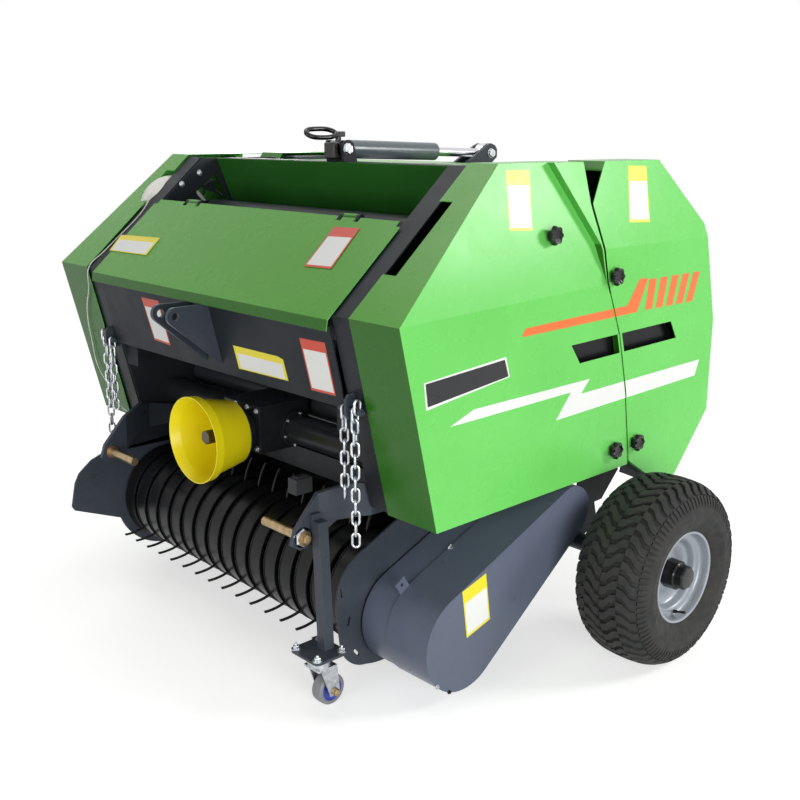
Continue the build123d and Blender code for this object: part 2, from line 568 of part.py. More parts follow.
with BuildPart() as pickup_end_right:
    add(rod(PICKUP_AXIS, END_R, PICKUP_END, SIDE_IN - SEAT))
    add(slab(end_tail, PICKUP_END, SIDE_IN - SEAT))
    add(slab([(62.0, 128.0), (-122.0, 203.0), (-130.0, 215.0), (-116.0, 282.0), (-102.0, 308.0), (-62.0, 340.0),
              (-29.0, 352.0), (172.0, 364.0), (172.0, 200.0)], PICKUP_END, SIDE_IN - SEAT))
finish("pickup_end_right", pickup_end_right.part, RIGHT)

# ---------------------------------------------------------------- chain guard
GUARD_FRONT, GUARD_FRONT_R = (199.0, 148.0), 118.0
GUARD_REAR, GUARD_REAR_R = (567.0, 358.0), 65.0


def teardrop(x_from, x_to, shrink=0.0):
    """Two unequal circles joined by their outer tangents, extruded along X."""
    dy, dz = GUARD_REAR[0] - GUARD_FRONT[0], GUARD_REAR[1] - GUARD_FRONT[1]
    run = hypot(dy, dz)
    heading = degrees(atan2(dz, dy))
    spread = 90 - degrees(asin((GUARD_FRONT_R - GUARD_REAR_R) / run))
    corners = []
    for centre, radius, turns in ((GUARD_FRONT, GUARD_FRONT_R - shrink, (spread, -spread)),
                                  (GUARD_REAR, GUARD_REAR_R - shrink, (-spread, spread))):
        for turn in turns:
            angle = radians(heading + turn)
            corners.append((centre[0] + radius * cos(angle), centre[1] + radius * sin(angle)))
    with BuildPart() as block:
        add(slab(corners, x_from, x_to))
        add(rod(GUARD_FRONT, GUARD_FRONT_R - shrink, x_from, x_to))
        add(rod(GUARD_REAR, GUARD_REAR_R - shrink, x_from, x_to))
    return block.part


GUARD_IN, GUARD_SEAM, GUARD_OUT = SIDE_OUT + 0.4, SIDE_OUT + 84, COVER_HALF
GUARD_LAP = 10.0           # the base's rim reaches this far into the cover
BASE_SHRINK = SHEET + SEAT
LATCH_TURN, LATCH_REACH, LATCH_PLATE = 122.0, 30.0, 3.0


def latch_tab(x_from):
    """Square tab with a bolt hole, standing out of the guard's round end."""
    out = radians(LATCH_TURN)
    foot = (GUARD_FRONT[0] + GUARD_FRONT_R * cos(out), GUARD_FRONT[1] + GUARD_FRONT_R * sin(out))
    with BuildPart() as tab:
        with BuildSketch(side_plane(x_from)):
            with Locations(Location(foot, LATCH_TURN)):
                Rectangle(2 * LATCH_REACH, LATCH_REACH)
            with Locations((foot[0] + 17 * cos(out), foot[1] + 17 * sin(out))):
                Circle(4.5, mode=Mode.SUBTRACT)
        extrude(amount=LATCH_PLATE)
        add(rod(GUARD_FRONT, GUARD_FRONT_R - SHEET, x_from - 1, x_from + LATCH_PLATE + 1), mode=Mode.SUBTRACT)
    return tab.part


with BuildPart() as guard_base:
    add(teardrop(GUARD_IN, GUARD_SEAM + GUARD_LAP, BASE_SHRINK))
    add(teardrop(GUARD_IN + SHEET, GUARD_SEAM + GUARD_LAP + 1, BASE_SHRINK + SHEET), mode=Mode.SUBTRACT)
    add(latch_tab(GUARD_SEAM - LATCH_PLATE - SEAT))
finish("chain_guard_base", guard_base.part)
with BuildPart() as guard_cover:
    add(teardrop(GUARD_SEAM, GUARD_OUT))
    add(teardrop(GUARD_SEAM - 1, GUARD_OUT - SHEET, SHEET), mode=Mode.SUBTRACT)
    add(latch_tab(GUARD_SEAM))
finish("chain_guard_cover", guard_cover.part)

# ---------------------------------------------------------------- axle and wheels
AXLE_LOW = WHEEL_CENTRE[1] - 30
with BuildPart() as axle:
    add(box((-SIDE_OUT - 8, SIDE_OUT + 8), (WHEEL_CENTRE[0] - 30, WHEEL_CENTRE[0] + 30), (AXLE_LOW, AXLE_LOW + 60)))
    for side in (LEFT, RIGHT):
        near, far = sorted((side * (SIDE_OUT + 8), side * (WHEEL_X + 62)))
        add(rod(WHEEL_CENTRE, AXLE_R, near, far))
        near, far = sorted((side * SIDE_OUT, side * (SIDE_OUT + 8)))
        add(slab([(640.0, 420.0), (652.0, AXLE_LOW), (752.0, AXLE_LOW), (772.0, 420.0)], near, far))
finish("axle", axle.part)

with BuildPart() as tyre:
    with BuildSketch(Plane.XY):
        with BuildLine():
            half = TYRE_WIDTH / 2
            Polyline((RIM_R - 4, -half + 22), (RIM_R + 8, -half + 14), (RIM_R + 40, -half), (TYRE_R - 26, -half + 2),
                     (TYRE_R - 6, -half + 16), (TYRE_R, -half + 34), (TYRE_R, half - 34), (TYRE_R - 6, half - 16),
                     (TYRE_R - 26, half - 2), (RIM_R + 40, half), (RIM_R + 8, half - 14), (RIM_R - 4, half - 22), close=True)
        make_face()
    revolve(axis=Axis.Y)
HUB_R = AXLE_R + 12
with BuildPart() as rim:
    with BuildSketch(Plane.XY):
        with BuildLine():
            half = TYRE_WIDTH / 2
            Polyline((RIM_R - 4.3, -half + 21.5), (RIM_R - 4.3, half - 21.5), (RIM_R + 4, half - 15.5),
                     (RIM_R + 1, half - 12), (RIM_R - 9, half - 18), (RIM_R - 9, 44), (60, 30), (HUB_R, 34),
                     (HUB_R, 70), (AXLE_R + SEAT, 70), (AXLE_R + SEAT, -46), (HUB_R, -46), (HUB_R, 26), (60, 24),
                     (RIM_R - 9, 36), (RIM_R - 9, -half + 18), (RIM_R + 1, -half + 12), (RIM_R + 4, -half + 15.5),
                     close=True)
        make_face()
    revolve(axis=Axis.Y)


def wheel_place(part):
    """Turn a piece revolved about Y so that its axis lies along X at the left wheel's place."""
    return part.moved(Location((WHEEL_X, NOSE_Y + WHEEL_CENTRE[0], WHEEL_CENTRE[1]), (0, 0, -90)))


for name, side in SIDES:
    finish(f"tyre_{name}", wheel_place(tyre.part), side)
    finish(f"rim_{name}", wheel_place(rim.part), side)

# ---------------------------------------------------------------- parking castor
CASTOR = (SIDE_OUT + 9, -50.0)
CASTOR_R, CASTOR_TRAIL = 36.0, 24.0
with BuildPart() as castor_leg:
    with BuildSketch(Plane(origin=(LINK_X + 27, NOSE_Y, 400), z_dir=(CASTOR[0] - LINK_X - 27, CASTOR[1] + 20, 136 - 400))):
        Rectangle(26, 26)
    extrude(amount=330, both=True)
    split(bisect_by=Plane(origin=(LINK_X + 14, 0, 0), z_dir=(1, 0, 0)), keep=Keep.TOP)
    split(bisect_by=Plane(origin=(0, 0, 136), z_dir=(0, 0, 1)), keep=Keep.TOP)
    split(bisect_by=Plane(origin=(0, 0, 410), z_dir=(0, 0, 1)), keep=Keep.BOTTOM)
    add(box((LINK_X + 6 + SEAT, LINK_X + 16), (-12.0, 14.0), (376.0, 424.0)))
    with BuildSketch(floor_plane(130.0)):
        with Locations(CASTOR):
            RectangleRounded(100.0, 90.0, 14.0)
    extrude(amount=6)
finish("castor_leg", castor_leg.part)
with BuildPart() as castor_fork:
    with BuildSketch(floor_plane(130.0 - SEAT)):
        with Locations(CASTOR):
            Circle(26.0)
    extrude(amount=-30)
    for x in (-26, 22):
        add(slab([(CASTOR[1] - 14, 100.0), (CASTOR[1] + CASTOR_TRAIL - 14, 28.0), (CASTOR[1] + CASTOR_TRAIL + 14, 28.0),
                  (CASTOR[1] + 30, 100.0)], CASTOR[0] + x, CASTOR[0] + x + 4))
    add(box((CASTOR[0] - 26, CASTOR[0] + 26), (CASTOR[1] - 22, CASTOR[1] + 30), (96.0, 101.0)))
    add(rod((CASTOR[1] + CASTOR_TRAIL, CASTOR_R), 5.0, CASTOR[0] - 30, CASTOR[0] + 30))
finish("castor_fork", castor_fork.part)
with BuildPart() as castor_wheel:
    add(rod((CASTOR[1] + CASTOR_TRAIL, CASTOR_R), CASTOR_R, CASTOR[0] - 15, CASTOR[0] + 15))
    add(rod((CASTOR[1] + CASTOR_TRAIL, CASTOR_R), 5.05, CASTOR[0] - 20, CASTOR[0] + 20), mode=Mode.SUBTRACT)
finish("castor_wheel", castor_wheel.part)

# ---------------------------------------------------------------- tailgate structure and cylinder
LUG, LUG_GAP = 10.0, 18.0  # lug plates' thickness and half the gap between them
EYE_PIN_R, EYE_BORE_R = 9.0, 17.0
gate_wall = offset_run([(BODY_LENGTH, 640.0)] + REAR[3:] + [(700.0, TOP_Z)], -PLATE_INSET - 12)
roof_corner = gate_wall[-2]
with BuildPart() as gate_beam:
    add(box((-SIDE_IN, SIDE_IN), (roof_corner[0] - 57, roof_corner[0] - 2), (FRAME_TOP - 70, FRAME_TOP - 20)))
    for x in (CYLINDER_X - LUG_GAP - LUG, CYLINDER_X + LUG_GAP):
        add(slab(shift([(-121, -35), (-85, -79), (-53, -71), (26, -11), (26, 11), (17, 22), (0, 28), (-17, 22),
                        (-43, 7)], *CYLINDER_EYE), x, x + LUG))
    add(rod(CYLINDER_EYE, EYE_PIN_R, CYLINDER_X - 34, CYLINDER_X + 34))
finish("gate_beam", gate_beam.part)
with BuildPart() as gate_panel:
    add(sheet_path(gate_wall, SHEET, -SIDE_IN, SIDE_IN))
    add(box((CYLINDER_X - 40, CYLINDER_X + 40), (850.0, 960.0), (FRAME_TOP - 108, FRAME_TOP + 22)), mode=Mode.SUBTRACT)
finish("gate_panel", gate_panel.part)

ROD_R, BARREL_R = 12.5, 24.0
heading = atan2(CYLINDER_EYE[1] - CYLINDER_BASE[1], CYLINDER_EYE[0] - CYLINDER_BASE[0])
cylinder_frame = Plane(
    origin=(CYLINDER_X, NOSE_Y + CYLINDER_BASE[0], CYLINDER_BASE[1]),
    x_dir=(1, 0, 0), z_dir=(0, cos(heading), sin(heading)))
CYLINDER_LENGTH = hypot(CYLINDER_EYE[0] - CYLINDER_BASE[0], CYLINDER_EYE[1] - CYLINDER_BASE[1])
BARREL_START, BARREL_END = 30.0, 345.0
with BuildPart() as barrel:
    with BuildSketch(cylinder_frame.offset(BARREL_START)):
        Circle(BARREL_R)
    extrude(amount=BARREL_END - BARREL_START)
    add(rod(CYLINDER_BASE, 22.0, CYLINDER_X - 20, CYLINDER_X + 20))
    with BuildSketch(cylinder_frame):
        Circle(18.0)
    extrude(amount=BARREL_START + 4)
    add(rod(CYLINDER_BASE, BASE_PIN_R + RUNNING_FIT, CYLINDER_X - 30, CYLINDER_X + 30), mode=Mode.SUBTRACT)
    with BuildSketch(cylinder_frame.offset(BARREL_START + 60)):
        Circle(ROD_R + RUNNING_FIT)
    extrude(amount=BARREL_END, mode=Mode.SUBTRACT)
finish("cylinder_barrel", barrel.part)
with BuildPart() as piston_rod:
    with BuildSketch(cylinder_frame.offset(BARREL_END - 130)):
        Circle(ROD_R)
    extrude(amount=CYLINDER_LENGTH - BARREL_END + 130 - 20)
    add(rod(CYLINDER_EYE, 28.0, CYLINDER_X - 14, CYLINDER_X + 14))
    add(rod(CYLINDER_EYE, EYE_BORE_R, CYLINDER_X - 20, CYLINDER_X + 20), mode=Mode.SUBTRACT)
finish("cylinder_rod", piston_rod.part)

VALVE_TOP = CYLINDER_BASE[1] + BARREL_R + 12
with BuildPart() as valve:
    with BuildSketch(cylinder_frame.offset(BARREL_START + 14)):
        with Locations((0, -(BARREL_R + SEAT + 6.5))):
            Rectangle(26, 13)
    extrude(amount=40)
    add(rod((CYLINDER_BASE[0] + 64, VALVE_TOP - 6), 6.0, CYLINDER_X + 12, CYLINDER_X + 30))
    add(box((CYLINDER_X - 6, CYLINDER_X + 6), (CYLINDER_BASE[0] + 58, CYLINDER_BASE[0] + 70),
            (VALVE_TOP - 4, VALVE_TOP + 2)))
    add(sheet_path([(CYLINDER_BASE[0] + 74, VALVE_TOP), (CYLINDER_BASE[0] + 20, VALVE_TOP + 2),
                    (CYLINDER_BASE[0] - 45, VALVE_TOP - 6)], 5.0, CYLINDER_X - 10, CYLINDER_X + 10))
finish("cylinder_valve", valve.part)

# ---------------------------------------------------------------- coupling chains at the front corners
LINK_WIRE, LINK_EYE, LINK_WIDE = 6.0, 26.0, 22.0   # wire, inner length and outer width of a link
HOOK_X, HOOK_PLATE = SIDE_OUT + 18, 6.0
BOLT_R, NUT_R = 4.0, 8.0
NOSE_FALL = (CHIN[0] - NOSE[0]) / (NOSE[1] - CHIN[1])
FACE_DEPTH = (PLATE_INSET - FLANGE) * hypot(1, NOSE_FALL)
HOOK_BOLT = (34.0, 672.0)
# chain: (X of its top link, number of links, turn of the links one after the other)
CHAINS = [(SIDE_OUT + 40, 12, (0, 105, 210, 315)), (SIDE_OUT + 5, 8, (0, 75, 150, 225))]


def flange_face(height):
    """How far behind the nose the side plate's front flange lies at a height."""
    return (NOSE_Z - height) * NOSE_FALL + FACE_DEPTH


bend, reach = (LINK_WIDE - LINK_WIRE) / 2, (LINK_EYE + LINK_WIRE) / 2
with BuildPart() as link:
    with BuildSketch(Plane.XY.offset(reach - bend)):
        with Locations((bend, 0)):
            RegularPolygon(LINK_WIRE / 2, 8)
    revolve(axis=Axis((0, 0, reach - bend), (0, -1, 0)), revolution_arc=180)
    mirror(about=Plane.XY)
    with BuildSketch(Plane.XY.offset(bend - reach)):
        with Locations((bend, 0), (-bend, 0)):
            RegularPolygon(LINK_WIRE / 2, 8)
    extrude(amount=2 * (reach - bend))

with BuildPart() as chain_hook:
    add(slab([(flange_face(708.0), 708.0), (HOOK_BOLT[0] - 4, 705.0), (HOOK_BOLT[0] - 12, 694.0),
              (HOOK_BOLT[0] - 12, 662.0), (HOOK_BOLT[0] - 2, 650.0), (flange_face(648.0), 648.0)],
             HOOK_X, HOOK_X + HOOK_PLATE))
    add(rod(HOOK_BOLT, BOLT_R, SIDE_IN - 3, HOOK_X + 51))
    for x in (SIDE_IN - 2, HOOK_X + 38):
        with BuildSketch(side_plane(x)):
            with Locations(HOOK_BOLT):
                RegularPolygon(NUT_R, 6)
        extrude(amount=7)
    mirror(about=Plane.YZ)
finish("chain_hooks", chain_hook.part)

hang = HOOK_BOLT[1] + BOLT_R + SEAT - LINK_EYE / 2   # middle of a link that hangs on the bolt
with BuildPart() as hitch_chains:
    for x, count, turns in CHAINS:
        for index in range(count):
            turn = 90 + (turns[index] if index < 4 else turns[3] + 90 * (index - 3))
            with Locations(Location((x, NOSE_Y + HOOK_BOLT[0], hang - index * (LINK_EYE - SEAT)), (0, 0, turn))):
                add(link.part)
    with Locations(Location((SIDE_OUT + 48, NOSE_Y + HOOK_BOLT[0], HOOK_BOLT[1] - BOLT_R - SEAT + LINK_EYE / 2), (0, 0, 90))):
        add(link.part)
    mirror(about=Plane.YZ)
finish("hitch_chains", hitch_chains.part)

# ---------------------------------------------------------------- baling twine
BALL_R, BALL_LENGTH, BALL_DEPTH = 75.0, 150.0, 18.0
BALL_CENTRE = bevel_point(235.0, BALL_DEPTH + BALL_R)
with BuildPart() as twine_ball:
    add(rod(BALL_CENTRE, BALL_R, SIDE_OUT + SEAT, SIDE_OUT + BALL_LENGTH))
    fillet(twine_ball.edges().filter_by(GeomType.CIRCLE), 26)
    add(rod(BALL_CENTRE, 16.0, SIDE_OUT, SIDE_OUT + BALL_LENGTH + 1), mode=Mode.SUBTRACT)
finish("twine_ball", twine_ball.part, RIGHT)

TWINE_D = 3.0


def over_bevel(x, behind, depth):
    """Point of the twine above the right bevel, at a depth under the cover's outer face."""
    y, z = bevel_point(behind, depth)
    return Vector(-x, NOSE_Y + y, z)


def before_front(x, height, gap):
    """Point of the twine before the right front band, at a gap square to the cover's outer face."""
    tilt = hypot(1, NOSE_FALL)
    return Vector(-x, NOSE_Y + (NOSE_Z - height) * NOSE_FALL - gap / tilt, height - gap * NOSE_FALL / tilt)


# out of the ball through the notch, down the gap beside the hood, over the nose, down the band and in to the arm
TWINE_ROUTE = [
    over_bevel(590, 235, BALL_DEPTH - 0.1), over_bevel(590, 235, 5), over_bevel(580, 228, -3), over_bevel(561, 212, -2),
    over_bevel(548, 182, 3), over_bevel(543, 144, 4), over_bevel(549, 106, 3.6), over_bevel(555, 68, 4),
    over_bevel(552, 38, 1), over_bevel(553, 10, -5), before_front(557, 864, 7), before_front(566, 840, 6.5),
    before_front(586, 808, 4.8), before_front(618, 772, 5.2), before_front(644, 731, 4.8), before_front(659, 686, 5.4),
    before_front(667, 642, 4.8), before_front(678, 600, 6), before_front(676, 564, 7), before_front(658, 538, 9),
    before_front(628, 522, 14), before_front(594, 508, 26), before_front(556, 492, 38),
]
arm_slant = Vector(106.0, SIDE_IN - SEAT - LINK_X - 6, 0).normalized()
arm_mid = Vector(-(LINK_X + 6 + SIDE_IN - SEAT) / 2, NOSE_Y + 67, 458)
away = Vector(-arm_slant.X, -arm_slant.Y, 0)
TWINE_ROUTE += [arm_mid + away * 44 + Vector(0, 0, 18), arm_mid + away * 18, arm_mid]


def tube(route, diameter):
    """Tube along straight runs joined by tangent arcs, each as large as its two runs allow."""
    radii = []
    for before, here, after in zip(route, route[1:], route[2:]):
        run_in, run_out = here - before, after - here
        radii.append(0.45 * min(run_in.length, run_out.length) / tan(radians(run_in.get_angle(run_out)) / 2))
    print("twine radii", *[round(radius, 1) for radius in radii])
    with BuildPart() as cord:
        with BuildLine() as path:
            FilletPolyline(*route, radius=radii)
        with BuildSketch(Plane(origin=path.line @ 0, z_dir=path.line % 0)):
            Circle(diameter / 2)
        sweep()
    length = sum(edge.length for edge in path.edges())
    print("twine length", round(length, 1), "volume over section", round(cord.part.volume / (pi * diameter ** 2 / 4), 1))
    return cord.part


finish("baling_twine", tube(TWINE_ROUTE, TWINE_D))
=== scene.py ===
"""Finishes, tyres, fittings, films, floor, lights and camera of a three-point mounted round baler."""

import logging
from dataclasses import dataclass, field, replace
from enum import Enum
from math import radians

import bmesh
import bpy
import numpy as np
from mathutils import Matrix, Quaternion, Vector

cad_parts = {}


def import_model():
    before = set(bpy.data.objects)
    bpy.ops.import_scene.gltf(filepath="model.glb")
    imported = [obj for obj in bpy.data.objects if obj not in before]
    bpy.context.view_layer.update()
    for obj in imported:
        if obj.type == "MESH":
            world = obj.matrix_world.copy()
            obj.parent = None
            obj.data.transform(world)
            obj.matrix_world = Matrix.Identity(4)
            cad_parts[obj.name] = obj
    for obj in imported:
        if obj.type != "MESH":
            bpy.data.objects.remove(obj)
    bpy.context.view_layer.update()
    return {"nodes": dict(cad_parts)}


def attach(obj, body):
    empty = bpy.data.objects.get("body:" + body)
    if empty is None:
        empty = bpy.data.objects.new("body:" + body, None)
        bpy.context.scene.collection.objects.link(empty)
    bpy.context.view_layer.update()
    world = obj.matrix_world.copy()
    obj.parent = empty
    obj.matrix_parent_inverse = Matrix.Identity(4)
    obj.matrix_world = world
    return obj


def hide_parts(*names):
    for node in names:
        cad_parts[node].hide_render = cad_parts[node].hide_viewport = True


Array = np.ndarray
Pair = tuple[float, float]
Triple = tuple[float, float, float]
LOG = logging.getLogger("baler")
MM = 1000.0                # millimetres in a metre
NOSE_BEHIND = 506.0        # millimetres from the nose line back to the middle of the machine
LEAN = 0.2277              # inward lean of the side covers' upper panels, X per Z
NOSE_HEIGHT = 876.0        # where the front cover starts to lean
FOLD_HEIGHT = 981.0        # where the rear cover starts to lean
FOLD_DRIFT = 0.008         # how the front cover's fold climbs backwards, as X per millimetre behind
COVER_FACE = 720.0         # outer face of the side covers
# the seam between body and tailgate covers, as (behind, height) from the foot up
SEAM = ((786.0, 440.0), (755.0, 640.0), (722.0, 768.0), (665.0, 903.0), (620.0, 1084.0))
SEAM_RUNS = {"lower": SEAM[1:3], "upper": SEAM[2:4]}   # the runs that films cross
SEAM_GAP = 3.0             # half the gap along the seam
FILM = 0.3                 # thickness of a vinyl film
SUNK = 0.1                 # how far a film's foot is in the surface that carries it
INSIDE = (0.0, 0.3, 0.5)   # a point of the chamber in metres, to tell outwards from inwards
# the Mix node's inputs for numbers and colours, and its colour output, by their place
FLOAT_A, FLOAT_B, COLOUR_A, COLOUR_B, COLOUR_OUT = 2, 3, 6, 7, 2
PAINTED_SHADE_TOP_TURN, PAINTED_SHADE_FRONT_TURN = (0.35, 0.65), (-0.72, -0.9)   # where a normal starts and ends to count as up or ahead, for the painted shade tones
SPECK_MM = 28.0            # size of a patch of dust, drawn as coarse as it shows
DUST_ROUGHNESS = 0.85


class Body(str, Enum):
    """The moving bodies that new pieces ride on."""

    FRAME = "frame"
    TAILGATE = "tailgate"
    HOOD = "hood"
    WHEEL_LEFT = "wheel_left"
    WHEEL_RIGHT = "wheel_right"
    CASTOR_FORK = "castor_fork"
    CASTOR_WHEEL = "castor_wheel"
    BARREL = "cylinder_barrel"


class Side(int, Enum):
    """The machine's two sides, by the sign of X."""

    LEFT = 1
    RIGHT = -1


def place(x: float | Array, behind: float | Array, height: float | Array) -> Array:
    """Metres in the model's frame from millimetres left, behind the nose line and up."""
    x, behind, height = np.broadcast_arrays(x, behind, height)
    return np.stack([x, behind - NOSE_BEHIND, height], axis=-1) / MM


def sideways(start: float, end: float) -> Array:
    """The step in metres from one X to another, in millimetres."""
    return np.array([(end - start) / MM, 0.0, 0.0])


def linear(hex_colour: str) -> tuple[float, float, float, float]:
    """Linear RGBA from an sRGB hex value such as #76D468."""
    values = np.array([int(hex_colour[i:i + 2], 16) for i in (1, 3, 5)]) / 255.0
    lit = np.where(values <= 0.04045, values / 12.92, ((values + 0.055) / 1.055) ** 2.4)
    return (*lit.tolist(), 1.0)


def per_mm(size_mm: float) -> float:
    """Noise or wave scale, in repeats per metre, for a feature of this size in millimetres."""
    return MM / size_mm


# ---------------------------------------------------------------- surfaces
@dataclass
class Shape:
    """Points and faces gathered from numpy surfaces, in metres."""

    points: list[Array] = field(default_factory=list)
    faces: list[tuple[int, ...]] = field(default_factory=list)
    count: int = 0

    def add(self, points: Array, faces: list[tuple[int, ...]] | Array) -> "Shape":
        """Adds one surface's points and its faces, which index them."""
        flat = np.asarray(points, float).reshape(-1, 3)
        shifted = [tuple(int(i) + self.count for i in face) for face in np.asarray(faces).tolist()] \
            if isinstance(faces, np.ndarray) else [tuple(i + self.count for i in face) for face in faces]
        self.points.append(flat)
        self.faces.extend(shifted)
        self.count += len(flat)
        return self

    def grid(self, points: Array, wrap_rows: bool = False, wrap_columns: bool = False) -> "Shape":
        """Adds a grid of points (rows, columns, 3) as quads, closed in either direction if asked."""
        rows, columns = points.shape[:2]
        index = np.arange(rows * columns).reshape(rows, columns)
        if wrap_rows:
            index = np.concatenate([index, index[:1]], axis=0)
        if wrap_columns:
            index = np.concatenate([index, index[:, :1]], axis=1)
        quads = np.stack([index[:-1, :-1], index[1:, :-1], index[1:, 1:], index[:-1, 1:]], axis=-1)
        return self.add(points, quads.reshape(-1, 4))


def basis(axis: Array) -> tuple[Array, Array, Array]:
    """Unit axis and two unit directions square to it."""
    along = np.asarray(axis, float)
    along = along / np.linalg.norm(along)
    helper = np.array([0.0, 0.0, 1.0]) if abs(along[2]) < 0.9 else np.array([0.0, 1.0, 0.0])
    first = np.cross(helper, along)
    first /= np.linalg.norm(first)
    return along, first, np.cross(along, first)


def lathe(shape: Shape, profile: Array, origin: Array, axis: Array, steps: int = 32, sides: int = 0,
          closed: bool = False) -> None:
    """Adds a turned form: origin + along * axis + radius * (cos t * first + sin t * second).

    Args:
        shape: The shape that gets the surface.
        profile: Rows of (along, radius) in millimetres, from one pole or edge to the other.
        origin: Where along is 0, in metres.
        axis: Direction of the axis.
        steps: Points round the axis.
        sides: If set, the radius is an apothem and the section a regular polygon: radius / cos of the turn
            from the nearest flat's middle.
        closed: If true, the last row joins the first, as on a ring.
    """
    along, first, second = basis(axis)
    turn = np.linspace(0.0, 2 * np.pi, steps, endpoint=False)
    scale = np.ones_like(turn)
    if sides:
        sector = 2 * np.pi / sides
        scale = 1.0 / np.cos((turn + sector / 2) % sector - sector / 2)
    ring = np.cos(turn)[:, None] * first + np.sin(turn)[:, None] * second
    rows = np.asarray(profile, float) / MM
    points = origin + rows[:, 0, None, None] * along + rows[:, 1, None, None] * scale[None, :, None] * ring
    shape.grid(points, wrap_rows=closed, wrap_columns=True)


def prism(shape: Shape, outline: Array, lift: Array) -> None:
    """Adds a plate: an outline of points (n, 3) and the same outline moved by lift, with walls between."""
    count = len(outline)
    points = np.concatenate([outline, outline + lift])
    ring = np.arange(count)
    after = np.roll(ring, -1)
    walls = np.stack([ring, after, after + count, ring + count], axis=-1)
    ends = [tuple(ring[::-1].tolist()), tuple((ring + count).tolist())]
    shape.add(points, ends + [tuple(wall) for wall in walls.tolist()])


def rounded(points: Array, passes: int = 3, closed: bool = False) -> Array:
    """Corner-cut path: each pass puts two points on every run, at 1/4 and 3/4 of it; open ends stay."""
    path = np.asarray(points, float)
    for _ in range(passes):
        after = np.roll(path, -1, axis=0) if closed else path[1:]
        before = path if closed else path[:-1]
        cut = np.stack([0.75 * before + 0.25 * after, 0.25 * before + 0.75 * after], axis=1)
        cut = cut.reshape(-1, path.shape[1])
        path = cut if closed else np.concatenate([path[:1], cut, path[-1:]])
    return path


def tube(shape: Shape, path: Array, radius: float, steps: int = 12, closed: bool = False,
         helper: Array = (1.0, 0.0, 0.0)) -> None:
    """Adds a round bar along a path: point + radius * (cos t * first + sin t * second), square to the path.

    Args:
        shape: The shape that gets the surface.
        path: Points in metres.
        radius: Bar radius in millimetres.
        steps: Points round the bar.
        closed: If true, the bar is a loop; else its ends are capped.
        helper: A direction that the path never follows.
    """
    run = np.roll(path, -1, axis=0) - np.roll(path, 1, axis=0) if closed else np.gradient(path, axis=0)
    run /= np.linalg.norm(run, axis=1, keepdims=True)
    first = np.cross(np.asarray(helper, float), run)
    first /= np.linalg.norm(first, axis=1, keepdims=True)
    second = np.cross(run, first)
    turn = np.linspace(0.0, 2 * np.pi, steps, endpoint=False)
    ring = np.cos(turn)[None, :, None] * first[:, None] + np.sin(turn)[None, :, None] * second[:, None]
    points = path[:, None] + radius / MM * ring
    if not closed:
        start, end = np.repeat(path[:1, None], steps, 1), np.repeat(path[-1:, None], steps, 1)
        points = np.concatenate([start, points, end])
    shape.grid(points, wrap_rows=closed, wrap_columns=True)


def block(shape: Shape, x: Pair, behind: Pair, height: Pair) -> None:
    """Adds a rectangular block from its ranges in millimetres."""
    front, rear = behind
    low, high = height
    outline = place(x[0], np.array([front, rear, rear, front]), np.array([low, low, high, high]))
    prism(shape, outline, sideways(*x))


def clip(outline: Array, start: Array, end: Array, behind: bool) -> Array:
    """The part of a (behind, height) outline on one side of a line, with a point where an edge crosses it.

    Args:
        outline: Points in order.
        start: One point of the line, the lower one.
        end: Another point of the line.
        behind: True for the side behind the line, false for the side before it.

    Returns:
        The outline's part, in order.
    """
    run = np.asarray(end, float) - start
    away = outline - start
    side = (away[:, 0] * run[1] - away[:, 1] * run[0]) * (1.0 if behind else -1.0)
    after, points_after = np.roll(side, -1), np.roll(outline, -1, axis=0)
    share = (side / np.where(side == after, 1.0, side - after))[:, None]
    crossing = outline + share * (points_after - outline)
    both = np.stack([outline, crossing], axis=1).reshape(-1, 2)
    wanted = np.stack([side > 0, side * after < 0], axis=1).reshape(-1)
    return both[wanted]


def soften(piece: bpy.types.Object, width_mm: float, segments: int = 2) -> None:
    """Rounds a piece's crisp edges."""
    bevel = piece.modifiers.new("edges", "BEVEL")
    bevel.width = width_mm / MM
    bevel.segments = segments
    bevel.limit_method = "ANGLE"
    bevel.angle_limit = radians(40.0)


@dataclass(frozen=True)
class Fastener:
    """Hexagon head or nut with its washer and, for a nut, the end of the bolt. Sizes in millimetres."""

    across: float = 17.0
    head: float = 8.0
    washer: float = 15.0
    tail: float = 0.0
    sheet: float = 2.0         # thickness of the washer
    sunk: float = 0.2          # how far one turned form reaches into the next

    def add(self, shape: Shape, at: Array, axis: Array) -> None:
        """Adds it at a point in metres, standing along an axis."""
        base, half = self.sheet, self.across / 2
        top = base + self.head
        rim, foot = self.washer, base - self.sunk
        lathe(shape, [(-0.5, 0), (-0.5, rim), (base - 0.4, rim), (base, rim - 0.6), (base, 0)], at, axis, 28)
        lathe(shape, [(foot, 0), (foot, half), (top - 0.2 * half, half), (top, half * 0.86), (top, 0)], at,
              axis, 24, sides=6)
        if self.tail > 0:
            end, foot = top + self.tail, top - self.sunk
            lathe(shape, [(foot, 0), (foot, half * 0.5), (end - 1, half * 0.5), (end, half * 0.42), (end, 0)],
                  at, axis, 20)


